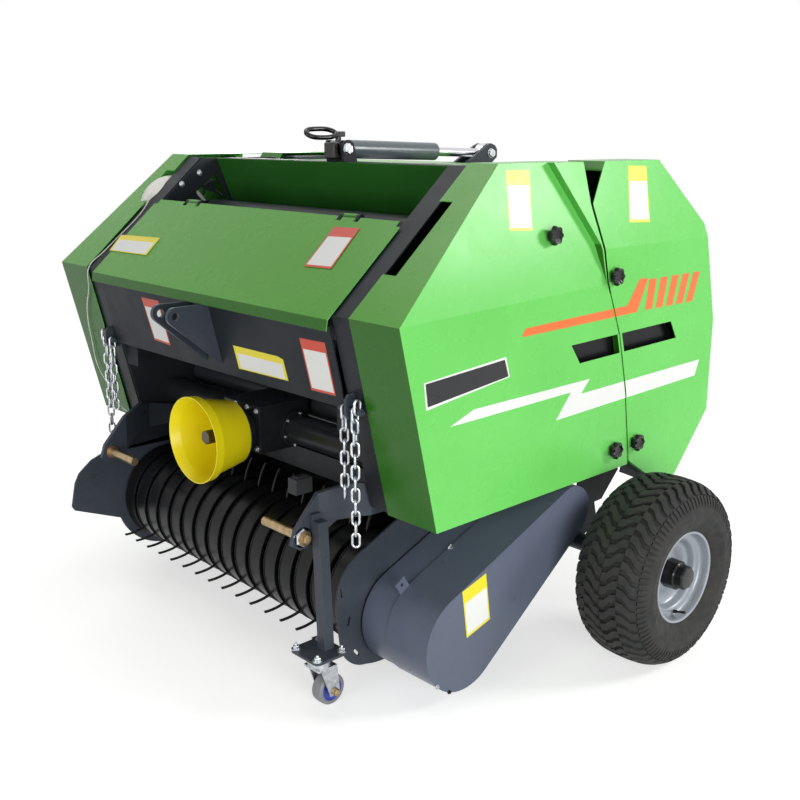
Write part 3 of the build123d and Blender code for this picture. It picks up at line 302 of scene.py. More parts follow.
def make(name: str, shape: Shape, material: bpy.types.Material, body: Body,
         sharp: float = 35.0, merge_mm: float = 0.01) -> bpy.types.Object:
    """Makes a Blender object at the origin from a shape, merged, turned outwards and smoothed below an angle.

    Args:
        name: Piece name.
        shape: Points and faces in metres.
        material: Finish.
        body: Body that it rides on.
        sharp: Edges sharper than this many degrees stay crisp.
        merge_mm: Points nearer than this become one.

    Returns:
        The new object.
    """
    mesh = bpy.data.meshes.new(name)
    mesh.from_pydata(np.concatenate(shape.points).tolist(), [], shape.faces)
    work = bmesh.new()
    work.from_mesh(mesh)
    bmesh.ops.remove_doubles(work, verts=work.verts, dist=merge_mm / MM)
    bmesh.ops.recalc_face_normals(work, faces=work.faces)
    work.to_mesh(mesh)
    work.free()
    mesh.polygons.foreach_set("use_smooth", np.ones(len(mesh.polygons), bool))
    mesh.set_sharp_from_angle(angle=radians(sharp))
    mesh.materials.append(material)
    piece = bpy.data.objects.new(name, mesh)
    bpy.context.scene.collection.objects.link(piece)
    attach(piece, body.value)
    LOG.info("%s: %d faces on %s", name, len(mesh.polygons), body.value)
    return piece


# ---------------------------------------------------------------- finishes
def add_node(tree: bpy.types.NodeTree, kind: str, settings: dict | None = None,
             links: dict | None = None) -> bpy.types.Node:
    """Adds one node. A setting is an input's value or else a property, and a link feeds an input."""
    node = tree.nodes.new(kind)
    for key, value in (settings or {}).items():
        if isinstance(key, int) or key in node.inputs:
            node.inputs[key].default_value = value
        else:
            setattr(node, key, value)
    for key, socket in (links or {}).items():
        tree.links.new(socket, node.inputs[key])
    return node


def new_tree(name: str) -> tuple[bpy.types.Material, bpy.types.NodeTree, bpy.types.Node]:
    """An empty node material, its tree and its output node."""
    material = bpy.data.materials.new(name)
    material.use_nodes = True
    material.node_tree.nodes.clear()
    output = add_node(material.node_tree, "ShaderNodeOutputMaterial")
    return material, material.node_tree, output


@dataclass(frozen=True)
class Coating:
    """A sprayed, plated or moulded surface with slow colour drift, fine bump, settled dust and painted shade.

    The colour drifts between two shades over drift_mm. The bump is a noise of grain_mm, such as the orange
    peel of a sprayed enamel. Dust gathers below dust_top, more on faces that look up, and dulls the gloss.
    """

    name: str
    colour: str
    shade: str
    roughness: float
    metallic: float = 0.0
    coat: float = 0.0
    coat_roughness: float = 0.05
    specular: float = 0.5
    drift_mm: float = 260.0
    grain_mm: float = 2.2
    grain_depth: float = 0.00008
    dust: float = 0.25
    dust_top: float = 0.7
    dust_colour: str = "#8C8272"
    edge_mm: float = 1.0
    wear: float = 0.0
    wear_colour: str = "#8F9296"
    front: str = ""    # painted shade: another, darker tone for faces that look ahead
    top: str = ""      # painted shade: another, darker tone for faces that look up

    def drift_and_painted_shade(self, tree: bpy.types.NodeTree, where: bpy.types.NodeSocket,
               facing: bpy.types.Node) -> bpy.types.NodeSocket:
        """Colour that drifts between the two shades, with the painted shade tones of faces that look up or
        ahead.
        """
        drift = add_node(tree, "ShaderNodeTexNoise", {"Scale": per_mm(self.drift_mm), "Detail": 4.0},
                         {"Vector": where})
        level = add_node(tree, "ShaderNodeMapRange", {"From Min": 0.35, "From Max": 0.65},
                         {"Value": drift.outputs["Fac"]})
        shades = {"data_type": "RGBA", COLOUR_A: linear(self.colour), COLOUR_B: linear(self.shade)}
        colour = add_node(tree, "ShaderNodeMix", shades, {0: level.outputs[0]}).outputs[COLOUR_OUT]
        # painted shade: faces that look up or ahead take darker tones, by their normal
        for tone, socket, span in ((self.top, "Z", PAINTED_SHADE_TOP_TURN), (self.front, "Y", PAINTED_SHADE_FRONT_TURN)):
            if tone:
                share = add_node(tree, "ShaderNodeMapRange", {"From Min": span[0], "From Max": span[1]},
                                 {"Value": facing.outputs[socket]}).outputs[0]
                colour = self.over(tree, colour, tone, share)
        return colour

    def over(self, tree: bpy.types.NodeTree, colour: bpy.types.NodeSocket, tone: str,
             share: bpy.types.NodeSocket) -> bpy.types.NodeSocket:
        """A tone laid over a colour where share is 1."""
        settings = {"data_type": "RGBA", COLOUR_B: linear(tone)}
        return add_node(tree, "ShaderNodeMix", settings, {0: share, COLOUR_A: colour}).outputs[COLOUR_OUT]

    def settled(self, tree: bpy.types.NodeTree, where: bpy.types.NodeSocket,
                facing: bpy.types.Node) -> bpy.types.NodeSocket:
        """Share of dust: the product of how low, how patchy and how level the surface is."""
        height = add_node(tree, "ShaderNodeSeparateXYZ", {}, {0: where}).outputs["Z"]
        low = add_node(tree, "ShaderNodeMapRange",
                       {"From Min": 0.0, "From Max": self.dust_top, "To Min": 1.0, "To Max": 0.15},
                       {"Value": height}).outputs[0]
        specks = add_node(tree, "ShaderNodeTexNoise",
                          {"Scale": per_mm(SPECK_MM), "Detail": 8.0, "Roughness": 0.7}, {"Vector": where})
        patch = add_node(tree, "ShaderNodeMapRange", {"From Min": 0.42, "From Max": 0.72},
                         {"Value": specks.outputs["Fac"]}).outputs[0]
        lying = add_node(tree, "ShaderNodeMapRange",
                         {"From Min": -0.2, "From Max": 1.0, "To Min": 0.35, "To Max": 1.0},
                         {"Value": facing.outputs["Z"]}).outputs[0]
        mask = add_node(tree, "ShaderNodeMath", {"operation": "MULTIPLY"}, {0: low, 1: patch}).outputs[0]
        mask = add_node(tree, "ShaderNodeMath", {"operation": "MULTIPLY"}, {0: mask, 1: lying}).outputs[0]
        return add_node(tree, "ShaderNodeMath", {"operation": "MULTIPLY", 1: self.dust}, {0: mask}).outputs[0]

    def build(self) -> bpy.types.Material:
        """Builds the node material."""
        material, tree, output = new_tree(self.name)
        texture = add_node(tree, "ShaderNodeTexCoord")
        where = texture.outputs["Object"]
        facing = add_node(tree, "ShaderNodeSeparateXYZ", {}, {0: texture.outputs["Normal"]})
        colour = self.drift_and_painted_shade(tree, where, facing)
        cloud = {"Scale": per_mm(self.drift_mm * 0.35), "Detail": 6.0, "Roughness": 0.65}
        rough = add_node(tree, "ShaderNodeTexNoise", cloud, {"Vector": where})
        low, high = self.roughness * 0.8, self.roughness * 1.25
        gloss = add_node(tree, "ShaderNodeMapRange",
                         {"From Min": 0.3, "From Max": 0.7, "To Min": low, "To Max": high},
                         {"Value": rough.outputs["Fac"]}).outputs[0]
        if self.dust > 0:
            mask = self.settled(tree, where, facing)
            colour = self.over(tree, colour, self.dust_colour, mask)
            gloss = add_node(tree, "ShaderNodeMix", {"data_type": "FLOAT", FLOAT_B: DUST_ROUGHNESS},
                             {0: mask, FLOAT_A: gloss}).outputs[0]
        edge = add_node(tree, "ShaderNodeBevel", {"samples": 4, "Radius": self.edge_mm / MM})
        if self.wear > 0:
            plain = add_node(tree, "ShaderNodeNewGeometry").outputs["Normal"]
            corner = add_node(tree, "ShaderNodeVectorMath", {"operation": "DOT_PRODUCT"},
                              {0: edge.outputs[0], 1: plain}).outputs["Value"]
            bare = add_node(tree, "ShaderNodeMapRange",
                            {"From Min": 0.97, "From Max": 0.8, "To Min": 0.0, "To Max": self.wear},
                            {"Value": corner}).outputs[0]
            colour = self.over(tree, colour, self.wear_colour, bare)
        grain = add_node(tree, "ShaderNodeTexNoise", {"Scale": per_mm(self.grain_mm), "Detail": 2.0},
                         {"Vector": where})
        bump = add_node(tree, "ShaderNodeBump", {"Strength": 1.0, "Distance": self.grain_depth},
                        {"Height": grain.outputs["Fac"], "Normal": edge.outputs[0]})
        fixed = {"Metallic": self.metallic, "Coat Weight": self.coat, "Coat Roughness": self.coat_roughness,
                 "Specular IOR Level": self.specular}
        shader = add_node(tree, "ShaderNodeBsdfPrincipled", fixed,
                          {"Base Color": colour, "Roughness": gloss, "Normal": bump.outputs[0]})
        tree.links.new(shader.outputs[0], output.inputs[0])
        return material


@dataclass(frozen=True)
class Finishes:
    """Every finish of the machine, built once."""

    # sprayed gloss enamel over folded sheet: clear lamp reflections, faint orange peel, edges rubbed paler;
    # faces that look ahead or up painted darker green as painted shade
    green: Coating = Coating("green_enamel_sprayed", "#76DB69", "#70D462", 0.26, specular=0.25,
                             grain_mm=4.0, grain_depth=0.00001, dust=0.015, dust_top=1.2,
                             dust_colour="#9DBB86",
                             wear=0.12, wear_colour="#BFD9B4", front="#2E6C18", top="#5AA636")
    # the same enamel on inner walls, painted a duller, darker green as painted shade
    green_inner: Coating = Coating("green_enamel_painted_shade", "#2A6A24", "#25601F", 0.42, specular=0.2,
                             dust=0.12, dust_top=1.2)
    # semi-gloss enamel on welded plate: cool grey, slightly uneven, dusty ledges
    slate: Coating = Coating("slate_enamel_sprayed", "#434954", "#3C424C", 0.32, specular=0.22, dust=0.15,
                             wear=0.3)
    # the same cool grey on the wide chain guard, painted lighter and bluer as painted light on its lit face
    guard_grey: Coating = Coating("slate_enamel_painted_light", "#646C7F", "#5E6678", 0.32, specular=0.25,
                             dust=0.12, wear=0.2)
    # semi-gloss enamel on brackets and panels, near black
    black: Coating = Coating("black_enamel_sprayed", "#25292F", "#292D33", 0.42, specular=0.1, dust=0.1,
                             wear=0.25)
    # glossy enamel on the reel's bands, kept black and bright by passing straw
    reel_black: Coating = Coating("black_enamel_polished", "#0D0E10", "#111215", 0.3, specular=0.2, dust=0.02)
    # semi-gloss enamel on the drive, near black
    drive: Coating = Coating("drive_enamel_sprayed", "#1D2024", "#212428", 0.34, specular=0.2, dust=0.15,
                             wear=0.2)
    # satin enamel on the plates' folded edges
    strip: Coating = Coating("black_edge_enamel", "#2B2F34", "#26292E", 0.4, specular=0.15, dust=0.1,
                             wear=0.2)
    # moulded phenolic: deep black, sharp small lights
    knob: Coating = Coating("black_phenolic_moulded", "#0A0B0C", "#0D0E0F", 0.2, specular=0.35,
                             grain_mm=5.0, dust=0.03)
    # painted roller tube, paint polished by straw
    roller: Coating = Coating("roller_steel_painted", "#24272B", "#2C3036", 0.4, specular=0.25, dust=0.2,
                             wear=0.3)
    # moulded polyethylene: strong plain colour under a soft waxy gloss
    guard: Coating = Coating("yellow_polyethylene_moulded", "#FCEB14", "#F6E40E", 0.36, grain_mm=1.2,
                             dust=0.1,
                             dust_top=0.9, dust_colour="#B7A85A")
    # turned steel under a film of oil, brownish
    shaft: Coating = Coating("machined_steel_oiled", "#6B625A", "#574F49", 0.35, metallic=1.0, dust=0.1)
    # zinc plate with yellow passivation: brassy, blotchy
    zinc: Coating = Coating("yellow_passivated_zinc", "#B79F78", "#988264", 0.34, metallic=1.0,
                             grain_mm=1.0, dust=0.1,
                            drift_mm=14.0)
    # bright zinc plate on fasteners and chain: cool, slightly cloudy
    bright: Coating = Coating("bright_zinc_plated_steel", "#C9CCD0", "#A5A9AF", 0.34, metallic=1.0,
                             grain_mm=1.0,
                              dust=0.12, drift_mm=12.0)
    # oxide-black spring wire
    tine: Coating = Coating("black_oxide_spring_steel", "#141416", "#1C1C1E", 0.36, metallic=0.3,
                             specular=0.3, dust=0.12)
    # moulded tyre rubber: matt charcoal, brown dust on the wall and in the grooves
    rubber: Coating = Coating("tyre_rubber_moulded", "#2A2B2C", "#313130", 0.7, grain_mm=1.8,
                             grain_depth=0.00025,
                              dust=0.45, dust_top=0.75, dust_colour="#5A544B", drift_mm=60.0, specular=0.25)
    # aluminium-pigmented enamel: pale, sparkly sheen in rings
    rim: Coating = Coating("silver_wheel_enamel", "#A4AAB1", "#989EA6", 0.34, metallic=0.35, dust=0.2,
                             dust_top=0.45)
    # cast castor polymer, grey and scuffed
    castor: Coating = Coating("grey_castor_polymer", "#8E9094", "#7F8286", 0.45, dust=0.3)
    # blue polypropylene hub, plain satin
    blue: Coating = Coating("blue_polypropylene_moulded", "#3A4AB4", "#3243A4", 0.4, dust=0.1)
    # hard chrome: mirror with the sky and floor in it
    chrome: Coating = Coating("hard_chromed_rod", "#D9DBDE", "#D2D4D8", 0.12, metallic=1.0, grain_mm=0.8,
                             dust=0.0)
    # glossy enamel over honed tube
    barrel: Coating = Coating("cylinder_enamel", "#6E787E", "#667076", 0.28, coat=0.15, specular=0.4,
                             dust=0.1)
    # chemically blackened valve block, brown in places
    valve: Coating = Coating("blackened_valve_steel", "#2E2C29", "#3A3530", 0.45, metallic=0.3, dust=0.1,
                             drift_mm=30.0)
    # cast vinyl film, plain and smooth
    film_white: Coating = Coating("white_vinyl_film", "#F6F7F4", "#EFF0ED", 0.35, dust=0.05, dust_top=1.0,
                             edge_mm=0.1)
    film_orange: Coating = Coating("orange_vinyl_film", "#FA7A3C", "#F37236", 0.35, dust=0.05,
                             dust_top=1.0, edge_mm=0.1)
    film_yellow: Coating = Coating("yellow_vinyl_film", "#F7EA2C", "#F1E426", 0.35, dust=0.03, edge_mm=0.1)
    film_red: Coating = Coating("red_vinyl_film", "#DB4A2E", "#D24329", 0.35, dust=0.03, edge_mm=0.1)
    film_dark: Coating = Coating("black_vinyl_film", "#16181A", "#1B1D1F", 0.3, dust=0.05, edge_mm=0.1)
    # polypropylene twine: off-white with a fine fibre grain
    twine: Coating = Coating("polypropylene_twine_spun", "#F7F6F2", "#EAE7DD", 0.55, grain_mm=0.9,
                             grain_depth=0.0003,
                             dust=0.0, drift_mm=3.0, edge_mm=0.2)


class Paintshop:
    """Builds each finish once and gives it out by name."""

    def __init__(self) -> None:
        """Starts with no finish built."""
        self._finishes = Finishes()
        self._made: dict[str, bpy.types.Material] = {}

    def get(self, name: str) -> bpy.types.Material:
        """The material of a field of Finishes."""
        if name not in self._made:
            self._made[name] = getattr(self._finishes, name).build()
        return self._made[name]


# ---------------------------------------------------------------- sub-assemblies
# finish: the start of the names of the modelled nodes that get it; the longest match wins
NODE_FINISHES = {
    "green": ("front_cover_", "rear_cover_", "hood", "gate_panel"),
    "green_inner": ("inner_wall",),
    "knob": ("front_cover_knobs", "rear_cover_knobs"),
    "slate": ("gate_side_plate", "top_link_bracket", "link_arm", "pickup_end", "axle", "castor_leg",
              "gate_beam", "chain_hooks"),
    "drive": ("gearbox", "cross_tube", "lower_beam"),
    "reel_black": ("pickup_strippers",),
    "guard_grey": ("chain_guard",),
    "strip": ("side_plate", "hood_rail", "top_beam"),
    "black": ("front_panel",),
    "roller": ("front_roller", "gate_roller"),
    "guard": ("pto_guard",),
    "shaft": ("pto_shaft",),
    "zinc": ("link_pins",),
    "bright": ("castor_fork", "hitch_chains"),
    "tine": ("pickup_reel",),
    "rubber": ("tyre_",),
    "rim": ("rim_",),
    "castor": ("castor_wheel",),
    "chrome": ("cylinder_rod",),
    "barrel": ("cylinder_barrel",),
    "valve": ("cylinder_valve",),
    "twine": ("twine_ball", "baling_twine"),
}


def dress_nodes(frame: dict, shop: Paintshop) -> None:
    """Gives every modelled node its finish."""
    for name, node in frame["nodes"].items():
        starts = [(len(start), finish) for finish, names in NODE_FINISHES.items()
                  for start in names if name.startswith(start)]
        finish = max(starts)[1] if starts else "slate"
        node.data.materials.clear()
        node.data.materials.append(shop.get(finish))
        LOG.info("%s wears %s", name, finish)


@dataclass(frozen=True)
class Twine:
    """Baling twine from its ball over the right front corner to the link arm. Points and sizes in metres."""

    route: tuple[Triple, ...] = (
        (-0.59000, -0.25923, 1.06763), (-0.59000, -0.26771, 1.07735), (-0.58000, -0.27997, 1.07727),
        (-0.56100, -0.29532, 1.06255), (-0.54800, -0.32203, 1.03260), (-0.54300, -0.35937, 0.99867),
        (-0.54900, -0.39763, 0.96581), (-0.55500, -0.43537, 0.93234), (-0.55200, -0.46734, 0.90841),
        (-0.55300, -0.49929, 0.88850), (-0.55700, -0.50994, 0.86237), (-0.56600, -0.50372, 0.83849),
        (-0.58600, -0.49442, 0.80688), (-0.61800, -0.48621, 0.77079), (-0.64400, -0.47603, 0.72988),
        (-0.65900, -0.46586, 0.68475), (-0.66700, -0.45477, 0.64088), (-0.67800, -0.44590, 0.59861),
        (-0.67600, -0.43828, 0.56237), (-0.65800, -0.43401, 0.53591), (-0.62800, -0.43505, 0.51875),
        (-0.59400, -0.44338, 0.50196), (-0.55600, -0.45123, 0.48317), (-0.50950, -0.46004, 0.47600),
        (-0.48666, -0.44761, 0.45800), (-0.47085, -0.43900, 0.45800),
    )
    diameter: float = 0.003
    length: float = 0.935

    def build(self, shop: Paintshop) -> None:
        """Lays the twine as one smooth spline."""
        curve = bpy.data.curves.new("twine", "CURVE")
        curve.dimensions = "3D"
        spline = curve.splines.new("NURBS")
        spline.points.add(len(self.route) - 1)
        spline.points.foreach_set("co", [value for point in self.route for value in (*point, 1.0)])
        spline.order_u = 3
        spline.use_endpoint_u = True
        spline.resolution_u = 8
        curve.bevel_depth = self.diameter / 2
        curve.bevel_resolution = 3
        curve.use_fill_caps = True
        curve.materials.append(shop.get("twine"))
        twine = bpy.data.objects.new("twine", curve)
        bpy.context.scene.collection.objects.link(twine)
        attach(twine, Body.FRAME.value)
        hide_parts("baling_twine")
        LOG.info("twine: %d route points on %s", len(self.route), Body.FRAME.value)


@dataclass(frozen=True)
class Wheel:
    """A road wheel: turf tyre with Z-shaped cleats, stepped steel rim and hub cap. Sizes in millimetres."""

    side: Side
    body: Body
    middle: float = 878.0      # X of the wheel's middle plane
    behind: float = 696.0
    height: float = 228.0
    # half of the tyre's section from the crown to the bead: (across, radius)
    section: tuple[Pair, ...] = (
        (0, 220), (24, 219.3), (44, 217), (60, 212.5), (72, 206.5), (82, 198), (89, 187.5), (93.5, 176),
        (95.4, 166), (94.6, 161), (95.6, 156), (95.8, 150), (93.6, 144), (91, 133), (86, 121), (82, 115),
        (79, 112), (74, 107),
    )
    cleats: int = 44
    cleat_line: tuple[Pair, ...] = ((-21, -12), (-8, -9), (8, 9), (21, 12))
    cleat_half: float = 11.2
    cleat_rows: tuple[float, ...] = (21.5, 64.0)
    cleat_rise: Pair = (8.0, 5.0)
    rise_span: Pair = (50.0, 86.0)          # where along the section the rise changes
    flat: float = 0.86         # share of a cleat's width that is its flat top
    root: float = 1.5          # how deep a cleat's foot is in the carcass
    lugs: int = 88
    lug_span: Pair = (88.0, 114.0)
    lug_rise: float = 3.2
    lug_fade: tuple[float, ...] = (1.0, 1.0, 0.9, 0.3)     # share of the rise along a lug
    lug_half: float = 5.0
    # rim section, a closed loop from the outer lip over the stepped barrel and disc to the inner lip
    rim: tuple[Pair, ...] = (
        (70, 112), (77, 112.5), (80, 111), (80.5, 108), (79, 105.4), (75, 104), (67, 103.4), (59, 101.4),
        (56.5, 99), (55, 95), (54, 89), (52.5, 85.5), (49, 83), (38, 81), (33, 78), (30, 71), (29, 60),
        (31, 48), (35, 39), (35, 33.5), (24, 33.5), (23, 48), (22, 66), (23, 80), (10, 94), (-50, 95),
        (-59, 101.4), (-67, 103.4), (-75, 104), (-79, 105.4), (-80.5, 108), (-80, 111), (-77, 112.5),
        (-70, 112), (-64, 106), (64, 106),
    )
    hub: tuple[Pair, ...] = ((-46, 0), (-46, 33), (36, 33), (36, 0))
    # the valve stem: where it stands on the rim in metres from the wheel's middle, its rise and its profile
    stem_foot: Triple = (0.058, 0.0, -0.094)
    stem_tilt: float = 0.25
    stem: tuple[Pair, ...] = ((0, 0), (0, 4.5), (6, 4), (8, 2.8), (24, 2.8), (24, 3.6), (30, 3.6),
                              (31, 2.5), (31, 0))
    cap_low: tuple[Pair, ...] = ((34, 0), (34, 34), (66, 33), (69, 30), (69, 0))
    cap_high: tuple[Pair, ...] = ((68, 0), (68, 27.5), (85, 27), (88.8, 24.5), (90, 12), (90, 0))

    def at(self) -> Array:
        """The wheel's middle, in metres."""
        return place(self.side * self.middle, self.behind, self.height)

    def skin(self, arc: Array, turn: Array, rise: Array) -> Array:
        """Points on the tyre: arc walks the half section, turn goes about the axle, rise along the normal.

        Args:
            arc: Signed way over the section in millimetres, across = interp(|arc|) * sign(arc).
            turn: Angle about the axle in radians.
            rise: Height over the carcass in millimetres.

        Returns:
            Points in metres.
        """
        section = np.array(self.section, float)
        step = np.diff(section, axis=0)
        length = np.linalg.norm(step, axis=1)
        walked = np.concatenate([[0.0], np.cumsum(length)])
        mids = (walked[1:] + walked[:-1]) / 2
        way = np.abs(arc)
        across = np.interp(way, walked, section[:, 0]) - rise * np.interp(way, mids, step[:, 1] / length)
        radius = np.interp(way, walked, section[:, 1]) + rise * np.interp(way, mids, step[:, 0] / length)
        return place(self.side * (self.middle + across * np.sign(arc)), self.behind + radius * np.cos(turn),
                     self.height + radius * np.sin(turn))

    def bars(self, shape: Shape, arc: Array, drift: Array, half: float, rise: Array, count: int,
             phase: float) -> None:
        """Adds one row of cleats: closed bars, each a run of four-cornered sections along its centre line.

        Args:
            shape: The shape that gets the cleats.
            arc: Way over the section of each station of the centre line.
            drift: Way round the crown of each station.
            half: Half of a cleat's thickness round the crown.
            rise: Height of each station's top over the carcass.
            count: Cleats in the row.
            phase: Turn of the first cleat, in cleat pitches.
        """
        crown = self.section[0][1] + self.cleat_rise[0]
        turn = (np.arange(count) + phase) * 2 * np.pi / count
        width = np.array([-1.0, -self.flat, self.flat, 1.0]) * half
        lift = np.array([0.0, 1.0, 1.0, 0.0])
        angle = turn[:, None, None] + (drift[None, :, None] + width[None, None, :]) / crown
        tall = rise[None, :, None] * lift - self.root * (1 - lift)
        ways, tall = np.broadcast_to(arc[None, :, None], angle.shape), np.broadcast_to(tall, angle.shape)
        points = self.skin(ways, angle, tall)
        index = np.arange(points.shape[0] * points.shape[1] * 4).reshape(points.shape[:3])
        after = np.roll(index, -1, axis=2)
        walls = np.stack([index[:, :-1], index[:, 1:], after[:, 1:], after[:, :-1]], axis=-1).reshape(-1, 4)
        ends = np.concatenate([index[:, 0], index[:, -1, ::-1]])
        shape.add(points, np.concatenate([walls, ends]))

    def tyre(self) -> Shape:
        """The tyre: the mirrored section turned about the axle, with rows of cleats and shoulder lugs."""
        shape = Shape()
        half = np.array(self.section, float)
        whole = np.concatenate([half[::-1], half[1:] * (-1, 1)])
        lathe(shape, whole, self.at(), (self.side, 0, 0), 120, closed=True)
        line = np.array(self.cleat_line, float)
        for row, middle in enumerate(self.cleat_rows):
            for flank in (1, -1):
                arc = flank * (middle + line[:, 0])
                rise = np.interp(np.abs(arc), self.rise_span, self.cleat_rise)
                self.bars(shape, arc, line[:, 1] * (1 if row else -1), self.cleat_half, rise, self.cleats,
                          0.5 * row + 0.25 * (flank > 0))
        way = np.linspace(*self.lug_span, 4)
        for flank in (1, -1):
            self.bars(shape, flank * way, 0 * way, self.lug_half, np.array(self.lug_fade) * self.lug_rise,
                      self.lugs, 0.25)
        return shape

    def build(self, shop: Paintshop) -> None:
        """Builds tyre, rim, hub cap and valve."""
        name, axis = self.side.name.lower(), (self.side, 0, 0)
        tyre = make(f"turf_tyre_{name}", self.tyre(), shop.get("rubber"), self.body, 32)
        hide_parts(f"tyre_{name}")
        shape = Shape()
        lathe(shape, self.rim, self.at(), axis, 96, closed=True)
        lathe(shape, self.hub, self.at(), axis, 48)
        rim = make(f"stepped_rim_{name}", shape, shop.get("rim"), self.body, 40)
        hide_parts(f"rim_{name}")
        shape = Shape()
        lathe(shape, self.cap_low, self.at(), axis, 40, sides=8)
        lathe(shape, self.cap_high, self.at(), axis, 40, sides=8)
        cap = make(f"hub_cap_{name}", shape, shop.get("knob"), self.body, 30)
        soften(cap, 0.8)
        shape = Shape()
        foot = self.at() + np.array(self.stem_foot) * (self.side, 1, 1)
        lathe(shape, self.stem, foot, (self.side, 0, self.stem_tilt), 16)
        make(f"valve_stem_{name}", shape, shop.get("knob"), self.body, 30)


@dataclass(frozen=True)
class Label:
    """A blank plate of vinyl: a coloured ground, its header left plain, with a plain white field.

    corners run top front, top rear, foot rear, foot front as (x, behind, height) in millimetres, on the
    surface. A point of the field is the bilinear mix of the corners.
    """

    name: str
    ground: str
    corners: tuple[Triple, ...]
    field_from: float = 0.3    # share of the height where the white field starts
    border: float = 0.05       # share of the width left round the field
    body: Body = Body.FRAME

    def patch(self, across: Pair, down: Pair) -> Array:
        """Corners of a part of the plate, from its shares of the width and height."""
        u = np.array([across[0], across[1], across[1], across[0]])[:, None]
        v = np.array([down[0], down[0], down[1], down[1]])[:, None]
        top_front, top_rear, foot_rear, foot_front = place(*np.array(self.corners, float).T)
        return (1 - v) * ((1 - u) * top_front + u * top_rear) + v * ((1 - u) * foot_front + u * foot_rear)

    def build(self, shop: Paintshop) -> None:
        """Builds ground and field as two thin slabs."""
        whole = self.patch((0, 1), (0, 1))
        out = np.cross(whole[2] - whole[0], whole[3] - whole[1])
        out /= np.linalg.norm(out)
        out *= np.sign(out @ (whole.mean(axis=0) - np.array(INSIDE)))
        field = self.patch((self.border, 1 - self.border), (self.field_from, 1 - self.border))
        for part, outline, colour, foot, top in (("ground", whole, self.ground, -SUNK, FILM),
                                                 ("field", field, "film_white", FILM / 2, FILM * 1.5)):
            shape = Shape()
            prism(shape, outline + out * foot / MM, out * (top - foot) / MM)
            make(f"{self.name}_{part}", shape, shop.get(colour), self.body, 20)


